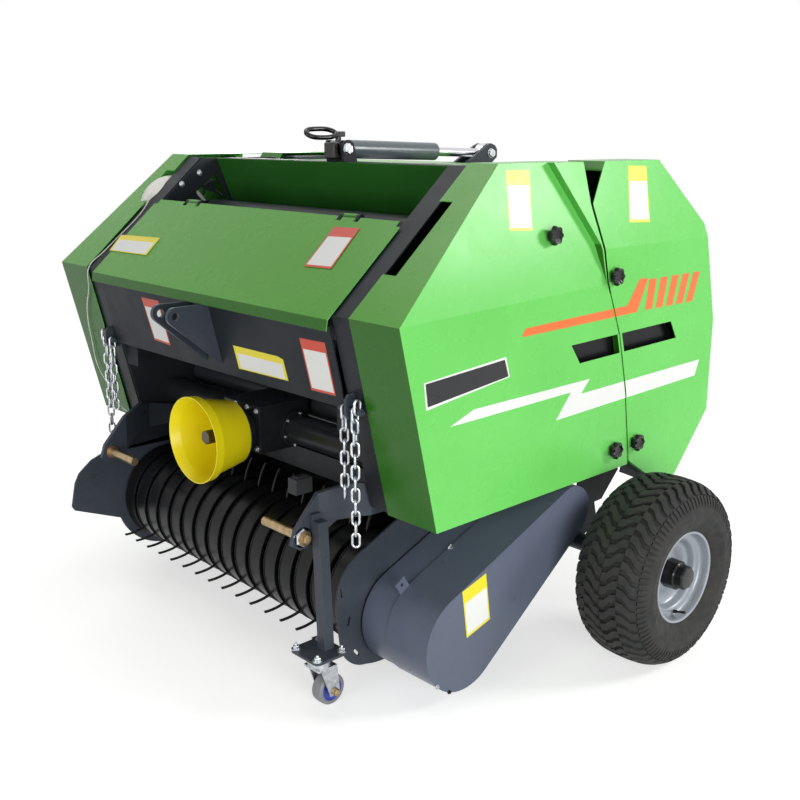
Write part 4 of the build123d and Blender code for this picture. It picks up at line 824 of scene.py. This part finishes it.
@dataclass(frozen=True)
class Livery:
    """Stripes, bars and blank plates, as thin films on the covers.

    Outlines are (behind, height) in millimetres on the flat cover.
    """

    bolt_stripe: tuple[Pair, ...] = ((143, 652), (215, 677), (611, 680), (580, 649), (1087, 658),
                                     (1069, 617), (491, 601), (542, 659))
    long_stripe: tuple[Pair, ...] = ((361, 812), (374, 830), (747, 839), (793, 900), (827, 898),
                                     (788, 819))
    bars: int = 5              # plain slanted bars in a row
    # where the first bar starts, the pitch and the width, at the foot and at the head
    bar_foot: Triple = (822.0, 45.0, 30.0)
    bar_head: Triple = (833.0, 49.0, 31.0)
    bar_heights: Pair = (820.0, 895.0)
    badge: tuple[Pair, ...] = ((67, 757), (312, 776), (326, 730), (74, 699))
    badge_inner: Pair = (0.965, 0.84)       # the dark field's share of the badge
    # name, ground, start of the field, body and corners of the plates on the hood and the front panel
    front_plates: tuple[tuple[str, str, float, Body, tuple[Triple, ...]], ...] = (
        ("hood_plate_yellow", "film_yellow", 0.3, Body.HOOD,
         ((-533, 94.8, 960.7), (-332, 101.4, 966.5), (-326, 53.1, 924.3), (-522, 49.5, 921.2))),
        ("hood_plate_red", "film_red", 0.24, Body.HOOD,
         ((309.8, 177.4, 1032.8), (396.3, 180.4, 1035.4), (407.3, 87.5, 954.4), (315.4, 84.5, 951.8))),
        ("panel_plate_yellow", "film_yellow", 0.3, Body.FRAME,
         ((108, 27, 749), (305, 27, 750), (307, 40, 694), (109, 41, 690))),
        ("panel_plate_red", "film_red", 0.2, Body.FRAME,
         ((387, 12.7, 809), (475, 12.4, 811), (475, 41, 690), (390, 41, 688))),
        ("panel_plate_red_far", "film_red", 0.2, Body.FRAME,
         ((-287.5, 10, 821), (-201, 10, 821.5), (-199, 38, 701), (-279, 37.5, 705))),
    )
    # part, body, start of the field and (behind, height) corners of the plates on the sides; all are yellow
    side_plates: tuple[tuple[str, Body, float, tuple[Pair, ...]], ...] = (
        ("front", Body.FRAME, 0.25, ((366, 1164), (443, 1163), (425, 1035), (351, 1039))),
        ("rear", Body.TAILGATE, 0.27, ((779, 1166), (853, 1164), (838, 1032), (754, 1036))),
        ("guard", Body.FRAME, 0.28, ((188.8, 268.7), (264.4, 290.7), (281.3, 174.1), (205.8, 153.1))),
    )

    def film(self, name: str, outlines: list[Array], finish: str, side: Side, body: Body, shop: Paintshop,
             layer: int = 0) -> None:
        """Lays outlines on a flat cover face as one piece.

        Args:
            name: Piece name.
            outlines: (behind, height) outlines in millimetres.
            finish: Field of Finishes.
            side: Side of the machine.
            body: Body that it rides on.
            shop: Gives the finish.
            layer: 0 on the paint, 1 on another film.
        """
        shape = Shape()
        foot = COVER_FACE - SUNK + layer * FILM
        for outline in outlines:
            prism(shape, place(side * foot, *outline.T), sideways(0.0, side * (FILM + SUNK)))
        make(f"{name}_{side.name.lower()}", shape, shop.get(finish), body, 20)

    def crossing(self, name: str, outline: Array, run: str, finish: str, side: Side, shop: Paintshop) -> None:
        """Lays a film that crosses the seam as one piece before it and one behind it."""
        low, high = np.array(SEAM_RUNS[run])
        for part, body, gap in (("front", Body.FRAME, -SEAM_GAP), ("rear", Body.TAILGATE, SEAM_GAP)):
            piece = clip(outline, low + (gap, 0.0), high + (gap, 0.0), gap > 0)
            self.film(f"{name}_{part}", [piece], finish, side, body, shop)

    def labels(self) -> list[Label]:
        """The blank plates of both sides, the hood and the front panel. The guard is on the left only."""
        plates = [Label(name, ground, corners, field_from=split, body=body)
                  for name, ground, split, body, corners in self.front_plates]
        for side in Side:
            for part, body, split, points in self.side_plates:
                if part == "guard" and side is Side.RIGHT:
                    continue
                corners = tuple((side * self.face(part, *point), *point) for point in points)
                plates.append(Label(f"{part}_plate_{side.name.lower()}", "film_yellow", corners,
                                    field_from=split, body=body))
        return plates

    def face(self, part: str, behind: float, height: float) -> float:
        """X of the outer face of a cover, the lower of its flat and leaning planes, or of the chain guard."""
        if part == "front":
            return min(COVER_FACE, COVER_FACE + FOLD_DRIFT * behind - LEAN * (height - NOSE_HEIGHT))
        if part == "rear":
            return min(COVER_FACE, COVER_FACE - LEAN * (height - FOLD_HEIGHT))
        return COVER_FACE

    def build(self, shop: Paintshop) -> None:
        """Lays every film on both sides."""
        for side in Side:
            bolt, long = np.array(self.bolt_stripe, float), np.array(self.long_stripe, float)
            self.crossing("bolt_stripe", bolt, "lower", "film_white", side, shop)
            self.crossing("long_stripe", long, "upper", "film_orange", side, shop)
            self.film("slanted_bars", self.row_of_bars(), "film_orange", side, Body.TAILGATE, shop)
            badge = np.array(self.badge, float)
            inner = badge.mean(axis=0) + (badge - badge.mean(axis=0)) * self.badge_inner
            self.film("badge_edge", [badge], "film_white", side, Body.FRAME, shop)
            self.film("badge_blank", [inner], "film_dark", side, Body.FRAME, shop, layer=1)
        for label in self.labels():
            label.build(shop)

    def row_of_bars(self) -> list[Array]:
        """Outlines of the slanted bars: foot and head each start at start + number * pitch."""
        low, high = self.bar_heights
        number = np.arange(self.bars)
        foot, head = (start + number * pitch for start, pitch, _ in (self.bar_foot, self.bar_head))
        behind = np.stack([foot, head, head + self.bar_head[2], foot + self.bar_foot[2]], axis=-1)
        height = np.broadcast_to(np.array([low, high, high, low]), behind.shape)
        return list(np.stack([behind, height], axis=-1))


@dataclass(frozen=True)
class FastenerRow:
    """Like fasteners that make one piece, at places (x, behind, height) in millimetres."""

    name: str
    kind: Fastener
    places: tuple[Triple, ...]
    axis: Triple = (1.0, 0.0, 0.0)
    body: Body = Body.FRAME
    finish: str = "bright"
    slot: str = "bare_steel"

    def mirrored(self, name: str) -> "FastenerRow":
        """The same row on the other side."""
        return replace(self, name=name, places=tuple((-x, y, z) for x, y, z in self.places),
                       axis=(-self.axis[0], *self.axis[1:]))

    def build(self, shop: Paintshop) -> None:
        """Builds the row as one piece."""
        shape = Shape()
        for at in self.places:
            self.kind.add(shape, place(*at), np.array(self.axis, float))
        make(self.name, shape, shop.get(self.finish), self.body, 30)


@dataclass(frozen=True)
class Hardware:
    """Bolts and nuts of the machine, and the tab on the near link arm. Sizes in millimetres."""

    tube_ring: tuple[float, float, float, float] = (92.0, 225.0, 500.0, 41.5)  # x, behind, height and radius
    tube_bolts: int = 6
    tube_phase: float = 0.3
    castor_plate: Triple = (515.0, -50.0, 136.0)
    castor_spread: Pair = (38.0, 34.0)
    gearbox_face: float = 118.0
    link_pin: Pair = (-32.0, 374.0)

    def rows(self) -> list[FastenerRow]:
        """Every row of fasteners."""
        turns = np.linspace(0, 2 * np.pi, self.tube_bolts, endpoint=False) + self.tube_phase
        x, behind, height, radius = self.tube_ring
        ring = tuple((x, behind + radius * np.cos(turn), height + radius * np.sin(turn)) for turn in turns)
        middle, foot, top = self.castor_plate
        wide, deep = self.castor_spread
        corners = tuple((middle + dx, foot + dy, top) for dx in (-wide, wide) for dy in (-deep, deep))
        box = tuple((dx, self.gearbox_face, z) for dx in (-64, 64) for z in (462, 560))
        across = tuple((dx, self.gearbox_face, 564) for dx in (-25, 25))
        small, plain, wing = Fastener(9, 5, 7.5), Fastener(11, 6, 9, 3), Fastener(15, 7, 9)
        tube = FastenerRow("tube_bolts_left", Fastener(8, 5, 4.4), ring)
        nut = FastenerRow("link_nut_left", Fastener(38, 7, 24), ((440, *self.link_pin),))
        end = FastenerRow("link_pin_end_left", Fastener(19, 18, 11), ((442, *self.link_pin),), finish="zinc")
        return [
            FastenerRow("far_plate_bolts", plain, ((-500, 338, 1126), (-500, 278, 1096))),
            FastenerRow("guard_bolt", plain, ((592, 282, 307),)),
            tube,
            tube.mirrored("tube_bolts_right"),
            FastenerRow("gearbox_bolts", small, box + across, (0, -1, 0)),
            FastenerRow("castor_plate_bolts", Fastener(13, 7, 11, 5), corners, (0, 0, 1)),
            FastenerRow("clevis_bolt", Fastener(24, 7, 15), ((60.5, 430, 1200),)),
            FastenerRow("clevis_nut", Fastener(24, 7, 15), ((-10.5, 430, 1200),), (-1, 0, 0)),
            FastenerRow("gate_eye_bolt", Fastener(22, 7, 14), ((52.5, 983, 1183),), body=Body.TAILGATE),
            FastenerRow("castor_axle_nut", wing, ((541, -26, 36),), body=Body.CASTOR_FORK, finish="zinc"),
            FastenerRow("castor_axle_head", wing, ((489, -26, 36),), (-1, 0, 0), Body.CASTOR_FORK, "zinc"),
            FastenerRow("guard_foot_bolt", Fastener(7, 3, 5.5), ((720, 113.8, 68),)),
            FastenerRow("guard_foot_plug", Fastener(6, 3, 5), ((720, 151.6, 41.1),), finish="knob",
                        slot="knob_plastic"),
            nut,
            end,
            nut.mirrored("link_nut_right"),
            end.mirrored("link_pin_end_right"),
        ]

    def build(self, shop: Paintshop) -> None:
        """Builds every row, then the tab."""
        for row in self.rows():
            row.build(shop)
        self.arm_tab(shop)

    def arm_tab(self, shop: Paintshop) -> None:
        """Builds the boxed tab on the near link arm."""
        shape = Shape()
        block(shape, (408, 438), (-44, 2), (472, 508))
        block(shape, (414, 432), (-36, -6), (507, 511))
        tab = make("arm_tab", shape, shop.get("drive"), Body.FRAME, 30)
        soften(tab, 1.5)


@dataclass(frozen=True)
class Valve:
    """Lock valve on the cylinder: block, lug, spindle and an oval lever loop. Sizes in millimetres."""

    # each block as its ranges across, behind and up
    body: tuple[Pair, ...] = ((5, 45), (396, 446), (1177, 1216))
    lug: tuple[Pair, ...] = ((18, 32), (420, 448), (1230, 1244))
    spindle_at: Triple = (25, 428, 1214)
    spindle: tuple[Pair, ...] = ((0, 0), (0, 8), (18, 8), (18, 0))
    loop: tuple[Triple, ...] = (
        (12, 404, 1250), (11, 362, 1250), (14, 334, 1248), (25, 322, 1239), (36, 334, 1230), (39, 362, 1228),
        (38, 404, 1230), (25, 424, 1240),
    )
    wire: float = 6.2

    def build(self, shop: Paintshop) -> None:
        """Builds the valve in place of its plain block."""
        shape = Shape()
        block(shape, *self.body)
        block(shape, *self.lug)
        valve = make("valve_block", shape, shop.get("valve"), Body.BARREL, 30)
        soften(valve, 3.0, 3)
        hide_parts("cylinder_valve")
        shape = Shape()
        loop = rounded(place(*np.array(self.loop, float).T), 3, closed=True)
        tube(shape, loop, self.wire, 14, closed=True, helper=(0, 0, 1))
        lathe(shape, self.spindle, place(*self.spindle_at), (0, 0, 1), 24)
        make("valve_lever", shape, shop.get("knob"), Body.BARREL, 40)


@dataclass(frozen=True)
class Castor:
    """Parking castor's wheel: grey tyre on a blue hub. Sizes in millimetres."""

    at: Triple = (515.0, -26.0, 36.0)
    tread: tuple[Pair, ...] = ((-15, 26), (-15, 33), (-13, 35.4), (-9, 36), (9, 36), (13, 35.4), (15, 33),
                               (15, 26))
    hub: tuple[Pair, ...] = ((-14, 26.2), (-11, 22), (-11, 12), (-17, 10), (-17, 6), (17, 6), (17, 10),
                             (11, 12), (11, 22), (14, 26.2))

    def build(self, shop: Paintshop) -> None:
        """Builds tread and hub in place of the plain wheel."""
        shape = Shape()
        lathe(shape, self.tread, place(*self.at), (1, 0, 0), 56, closed=True)
        tread = make("castor_tread", shape, shop.get("castor"), Body.CASTOR_WHEEL, 40)
        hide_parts("castor_wheel")
        shape = Shape()
        lathe(shape, self.hub, place(*self.at), (1, 0, 0), 40, closed=True)
        make("castor_hub", shape, shop.get("blue"), Body.CASTOR_WHEEL, 40)


@dataclass(frozen=True)
class WindowGear:
    """Twine levers behind the far side plate's window: bent rods on a pivot. Sizes in millimetres."""

    levers: tuple[tuple[Triple, ...], ...] = (
        ((-503, 350, 1064), (-512, 362, 1086), (-512, 384, 1104), (-512, 402, 1098)),
        ((-503, 418, 1058), (-516, 404, 1072), (-516, 380, 1078), (-516, 352, 1090)),
    )
    rod: float = 4.0
    pivot_at: Triple = (-506, 384, 1084)
    pivot: tuple[Pair, ...] = ((0, 0), (0, 12), (14, 12), (16, 9), (16, 0))

    def build(self, shop: Paintshop) -> None:
        """Builds both levers and the pivot."""
        shape = Shape()
        for lever in self.levers:
            tube(shape, rounded(place(*np.array(lever, float).T), 2), self.rod, 12, helper=(1, 0, 0))
        lathe(shape, self.pivot, place(*self.pivot_at), (-1, 0, 0), 28)
        make("twine_levers", shape, shop.get("black"), Body.FRAME, 40)


@dataclass(frozen=True)
class Sheets:
    """Thin sheets behind the openings, which stand in for what can't be seen there. Sizes in millimetres.

    They are the reel's pan, the far gusset and, on each side, the corner backing, the wedge under the rear
    cover, the slots' near-black sheets (painted shade), the edge and the seal that close the seam, and the
    wheel's stay. Each flat one is a (behind, height) outline between two values of X.
    """

    pan: tuple[Pair, ...] = ((-494, 494), (376, 380), (60, 390))
    corner: tuple[Pair, ...] = ((440, 500), (72, 75), (600, 850))
    wedge_x: Pair = (702.0, 705.0)
    wedge: tuple[Pair, ...] = ((790, 452), (880, 398), (901, 374), (865, 369), (776, 409))
    gusset_x: Pair = (-500.0, -494.0)
    gusset: tuple[Pair, ...] = ((-20, 350), (60, 400), (110, 425), (250, 425), (250, 350))
    stay_x: Pair = (636.0, 640.0)
    stay: tuple[Pair, ...] = ((690, 215), (778, 262), (764, 315), (794, 316), (862, 384), (790, 440),
                              (690, 452))
    seal_x: Pair = (507.0, 511.0)
    seal_reach: Pair = (12.0, 6.0)    # how far it goes before and behind the seam
    edge_x: Pair = (700.0, 717.5)     # closes the gap between the covers from inside
    edge: tuple[Pair, ...] = ((786, 441), (755, 640), (722, 768), (676, 876))
    edge_reach: Pair = (2.6, 3.5)
    # the slots' near-black sheets, painted shade inside the slots
    slot_x: Pair = (698.0, 700.0)
    slot_front: tuple[Pair, ...] = ((525, 712), (730, 712), (710, 790), (525, 790))
    slot_rear: tuple[Pair, ...] = ((741, 712), (985, 712), (985, 790), (721, 790))

    def along(self, line: tuple[Pair, ...], reach: Pair) -> Array:
        """The outline of a strip that follows a line, by its reach before and behind it."""
        middle = np.array(line, float)
        return np.concatenate([middle - (reach[0], 0), middle[::-1] + (reach[1], 0)])

    def plate(self, name: str, outline: Array, x: Pair, finish: bpy.types.Material,
              body: Body = Body.FRAME) -> None:
        """Builds a flat sheet: its (behind, height) outline carried from one X to another."""
        shape = Shape()
        prism(shape, place(x[0], *np.array(outline, float).T), sideways(*x))
        make(name, shape, finish, body, 30)

    def build(self, shop: Paintshop) -> None:
        """Builds the sheets."""
        black, dark = shop.get("black"), shop.get("reel_black")
        shape = Shape()
        block(shape, *self.pan)
        make("pickup_pan", shape, black, Body.FRAME, 30)
        self.plate("far_gusset", self.gusset, self.gusset_x, black)
        edge, seal = self.along(self.edge, self.edge_reach), self.along(SEAM, self.seal_reach)
        for side in Side:
            name = side.name.lower()
            shape = Shape()
            block(shape, tuple(side * x for x in self.corner[0]), *self.corner[1:])
            make(f"corner_backing_{name}", shape, black, Body.FRAME, 30)
            wedge, slot, rim, stay, inner = (
                tuple(side * x for x in pair)
                for pair in (self.wedge_x, self.slot_x, self.edge_x, self.stay_x, self.seal_x))
            self.plate(f"gate_wedge_{name}", self.wedge, wedge, black, Body.TAILGATE)
            # painted shade: near-black sheets behind both slots
            self.plate(f"slot_backing_front_{name}", self.slot_front, slot, dark)
            self.plate(f"slot_backing_rear_{name}", self.slot_rear, slot, dark, Body.TAILGATE)
            self.plate(f"seam_edge_{name}", edge, rim, shop.get("green"), Body.TAILGATE)
            self.plate(f"wheel_stay_{name}", self.stay, stay, black)
            self.plate(f"seam_seal_{name}", seal, inner, shop.get("strip"), Body.TAILGATE)


@dataclass(frozen=True)
class BandRims:
    """Rolled rims along both edges of every stripper band. Sizes in millimetres."""

    middle: Pair = (172.0, 200.0)
    radius: float = 138.4
    rod: float = 1.6
    pitch: float = 62.0
    bands: int = 16
    edge: float = 21.6
    arc: Pair = (79.0, 281.0)      # degrees from straight back, over the front

    def build(self, shop: Paintshop) -> None:
        """Builds the rims: middle + radius * (cos turn, sin turn), one bar at each edge of a band."""
        turn = np.radians(np.linspace(*self.arc, 44))
        behind = self.middle[0] + self.radius * np.cos(turn)
        height = self.middle[1] + self.radius * np.sin(turn)
        shape = Shape()
        for band in range(self.bands):
            for edge in (-self.edge, self.edge):
                x = (band - (self.bands - 1) / 2) * self.pitch + edge
                tube(shape, place(x, behind, height), self.rod, 6)
        make("band_rims", shape, shop.get("reel_black"), Body.FRAME, 60)


@dataclass(frozen=True)
class Knobs:
    """Lobed clamping knobs that hold the side covers shut. Sizes in millimetres."""

    radius: float = 20.0
    lobes: int = 7
    lobe: float = 2.0
    below: float = 13.0        # the sheet under a knob is met this far below its middle
    # (along, share of the head's radius): neck, skirt, rounded rim and dished face
    head: tuple[Pair, ...] = ((-1, 0), (-1, 0.55), (6, 0.55), (7, 0.9), (9, 1.0), (17, 1.0), (19.5, 0.93),
                              (20.5, 0.82), (20, 0.7), (17.5, 0.6), (17, 0))
    waved: float = 0.65        # rows wider than this share have the lobes
    places: tuple[tuple[str, str, tuple[Pair, ...]], ...] = (
        ("front", "frame", ((482, 1022), (716, 485))), ("rear", "tailgate", ((684, 916), (807, 487))))

    def build(self, shop: Paintshop) -> None:
        """Builds the knobs in place of the plain ones: share * (radius + lobe * cos(lobes * turn))."""
        turn = np.linspace(0.0, 2 * np.pi, 98, endpoint=False)
        rows = np.array(self.head, float)
        wave = self.radius + self.lobe * np.cos(self.lobes * turn) * (rows[:, 1:] > self.waved)
        spread = rows[:, 1:] * wave
        livery = Livery()
        for part, body, middles in self.places:
            shape = Shape()
            for side in Side:
                for behind, height in middles:
                    foot = livery.face(part, behind, height - self.below)
                    points = place(side * (foot + rows[:, :1]), behind + spread * np.cos(turn),
                                   height + spread * np.sin(turn))
                    shape.grid(points, wrap_columns=True)
            knobs = make(f"{part}_clamp_knobs", shape, shop.get("knob"), Body(body), 40)
            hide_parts(f"{part}_cover_knobs")


@dataclass(frozen=True)
class TwineBall:
    """Cross-wound ball of twine with a swollen middle. Sizes in millimetres."""

    at: Triple = (-506.3, 296.2, 1011.05)
    outline: tuple[Pair, ...] = ((0, 72), (4, 75), (40, 79), (56, 90), (68, 102), (80, 107), (92, 105.5),
                                 (104, 97), (118, 85), (130, 77), (144, 73), (149.7, 70))
    pitch: float = 3.0
    groove: float = 0.6
    starts: float = 3.0        # how many times the grooves' phase runs through a turn

    def build(self, shop: Paintshop) -> None:
        """Builds the ball: outline(along) - groove * |sin(pi * along / pitch + starts * turn)|."""
        outline = np.array(self.outline, float)
        along = np.linspace(0.0, outline[-1, 0], 200)[:, None]
        turn = np.linspace(0.0, 2 * np.pi, 72, endpoint=False)[None, :]
        wound = np.abs(np.sin(np.pi * along / self.pitch + self.starts * turn))
        radius = np.interp(along, outline[:, 0], outline[:, 1]) - self.groove * wound
        along = np.concatenate([along[:1], along, along[-1:]])
        radius = np.concatenate([0 * radius[:1], radius, 0 * radius[-1:]])
        x, behind, height = self.at
        shape = Shape()
        points = place(x - along, behind + radius * np.cos(turn), height + radius * np.sin(turn))
        shape.grid(points, wrap_columns=True)
        ball = make("wound_twine_ball", shape, shop.get("twine"), Body.FRAME, 60)
        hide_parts("twine_ball")


# ---------------------------------------------------------------- stage
@dataclass(frozen=True)
class SoftBox:
    """A rectangular lamp that looks at a point. Places and sizes in metres."""

    name: str
    at: Triple
    aim: Triple
    size: Pair
    watts: float

    def build(self) -> None:
        """Adds the lamp."""
        light = bpy.data.lights.new(self.name, "AREA")
        light.shape = "RECTANGLE"
        light.size, light.size_y = self.size
        light.energy = self.watts
        lamp = bpy.data.objects.new(self.name, light)
        lamp.location = self.at
        lamp.rotation_mode = "QUATERNION"
        lamp.rotation_quaternion = (Vector(self.aim) - Vector(self.at)).to_track_quat("-Z", "Y")
        bpy.context.scene.collection.objects.link(lamp)


@dataclass(frozen=True)
class Stage:
    """Plain pale floor, soft studio light and the camera. Places in metres, angles in degrees."""

    floor_half: float = 9.0
    fade: Pair = (1.4, 3.2)
    floor_paint: str = "#E9E9E7"
    floor_glow: float = 0.6    # what camera and mirror rays see on top of the paint
    fill: float = 0.1
    mirrored: float = 1.0
    camera_at: Triple = (2.175, -1.855, 1.244)
    azimuth: float = 47.12
    pitch: float = -14.17
    roll: float = 0.10
    lens: float = 47.13
    sensor: float = 36.0
    rise: float = -0.0052      # the camera's shift, a share of the width
    boxes: tuple[SoftBox, ...] = (
        SoftBox("key", (3.0, 2.4, 2.15), (0.67, -0.1, 1.0), (1.15, 0.95), 60.0),
        SoftBox("side", (4.2, -1.3, 0.8), (0.6, -0.2, 0.6), (2.4, 1.6), 88.0),
        SoftBox("top", (-0.8, 0.2, 4.2), (0.0, 0.0, 0.6), (3.0, 3.0), 62.0),
        SoftBox("front", (1.2, -4.7, 0.9), (0.0, 0.0, 0.5), (3.0, 1.8), 72.0),
        SoftBox("far", (-4.4, 1.6, 1.7), (-0.4, 0.1, 0.6), (2.8, 1.8), 60.0),
    )

    def floor(self) -> None:
        """Lays a square floor that fades into the white surround."""
        material, tree, output = new_tree("studio_floor_paint")
        where = add_node(tree, "ShaderNodeTexCoord").outputs["Object"]
        flat = add_node(tree, "ShaderNodeVectorMath", {"operation": "LENGTH"}, {0: where}).outputs["Value"]
        ends = {"From Min": self.fade[0], "From Max": self.fade[1], "interpolation_type": "SMOOTHSTEP"}
        fade = add_node(tree, "ShaderNodeMapRange", ends, {"Value": flat}).outputs[0]
        seen = self.seen(tree)
        paint = add_node(tree, "ShaderNodeBsdfDiffuse", {"Color": linear(self.floor_paint)})
        glow = add_node(tree, "ShaderNodeEmission", {"Color": (1, 1, 1, 1), "Strength": self.floor_glow})
        lit = add_node(tree, "ShaderNodeAddShader", {}, {0: paint.outputs[0], 1: glow.outputs[0]})
        shown = add_node(tree, "ShaderNodeMixShader", {}, {0: seen, 1: paint.outputs[0], 2: lit.outputs[0]})
        clear = add_node(tree, "ShaderNodeBsdfTransparent")
        mixed = add_node(tree, "ShaderNodeMixShader", {}, {0: fade, 1: shown.outputs[0], 2: clear.outputs[0]})
        tree.links.new(mixed.outputs[0], output.inputs[0])
        mesh = bpy.data.meshes.new("floor")
        half = self.floor_half
        corners = [(-half, -half, 0), (half, -half, 0), (half, half, 0), (-half, half, 0)]
        mesh.from_pydata(corners, [], [(0, 1, 2, 3)])
        mesh.materials.append(material)
        floor = bpy.data.objects.new("floor", mesh)
        bpy.context.scene.collection.objects.link(floor)

    def seen(self, tree: bpy.types.NodeTree) -> bpy.types.NodeSocket:
        """1 for camera, glossy and transmission rays, else 0."""
        ray = add_node(tree, "ShaderNodeLightPath")
        either = add_node(tree, "ShaderNodeMath", {"operation": "MAXIMUM"},
                          {0: ray.outputs["Is Camera Ray"], 1: ray.outputs["Is Glossy Ray"]}).outputs[0]
        return add_node(tree, "ShaderNodeMath", {"operation": "MAXIMUM"},
                        {0: either, 1: ray.outputs["Is Transmission Ray"]}).outputs[0]

    def world(self) -> None:
        """White surround for camera, glossy and transmission rays, and a soft fill for the rest."""
        world = bpy.data.worlds.new("studio")
        bpy.context.scene.world = world
        world.use_nodes = True
        tree = world.node_tree
        tree.nodes.clear()
        fill, white = (add_node(tree, "ShaderNodeBackground", {"Color": (1, 1, 1, 1), "Strength": strength})
                       for strength in (self.fill, self.mirrored))
        mixed = add_node(tree, "ShaderNodeMixShader", {},
                         {0: self.seen(tree), 1: fill.outputs[0], 2: white.outputs[0]})
        output = add_node(tree, "ShaderNodeOutputWorld")
        tree.links.new(mixed.outputs[0], output.inputs[0])

    def camera(self) -> None:
        """Sets the camera: it looks along the azimuth from +Y towards -X, pitched and rolled."""
        data = bpy.data.cameras.new("camera")
        data.sensor_width, data.lens, data.shift_y = self.sensor, self.lens, self.rise
        camera = bpy.data.objects.new("camera", data)
        camera.rotation_mode = "QUATERNION"
        azimuth, pitch = radians(self.azimuth), radians(self.pitch)
        ahead = Vector((-np.sin(azimuth) * np.cos(pitch), np.cos(azimuth) * np.cos(pitch), np.sin(pitch)))
        roll = Quaternion((0, 0, 1), radians(self.roll))
        camera.rotation_quaternion = ahead.to_track_quat("-Z", "Y") @ roll
        camera.location = self.camera_at
        bpy.context.scene.collection.objects.link(camera)
        bpy.context.scene.camera = camera

    def build(self) -> None:
        """Sets the camera, floor, surround and lamps."""
        bpy.context.scene.view_settings.view_transform = "Standard"
        self.camera()
        self.floor()
        self.world()
        for box in self.boxes:
            box.build()


def main() -> None:
    """Builds the stage, the cord and the sub-assemblies in order."""
    logging.basicConfig(level=logging.INFO, format="%(name)s: %(message)s")
    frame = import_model()
    shop = Paintshop()
    Stage().build()
    Twine().build(shop)
    dress_nodes(frame, shop)
    for wheel in (Wheel(Side.LEFT, Body.WHEEL_LEFT), Wheel(Side.RIGHT, Body.WHEEL_RIGHT)):
        wheel.build(shop)
    for assembly in (Livery, Hardware, Valve, Castor, WindowGear, Sheets, Knobs, BandRims, TwineBall):
        assembly().build(shop)


if __name__ == "__main__":
    main()
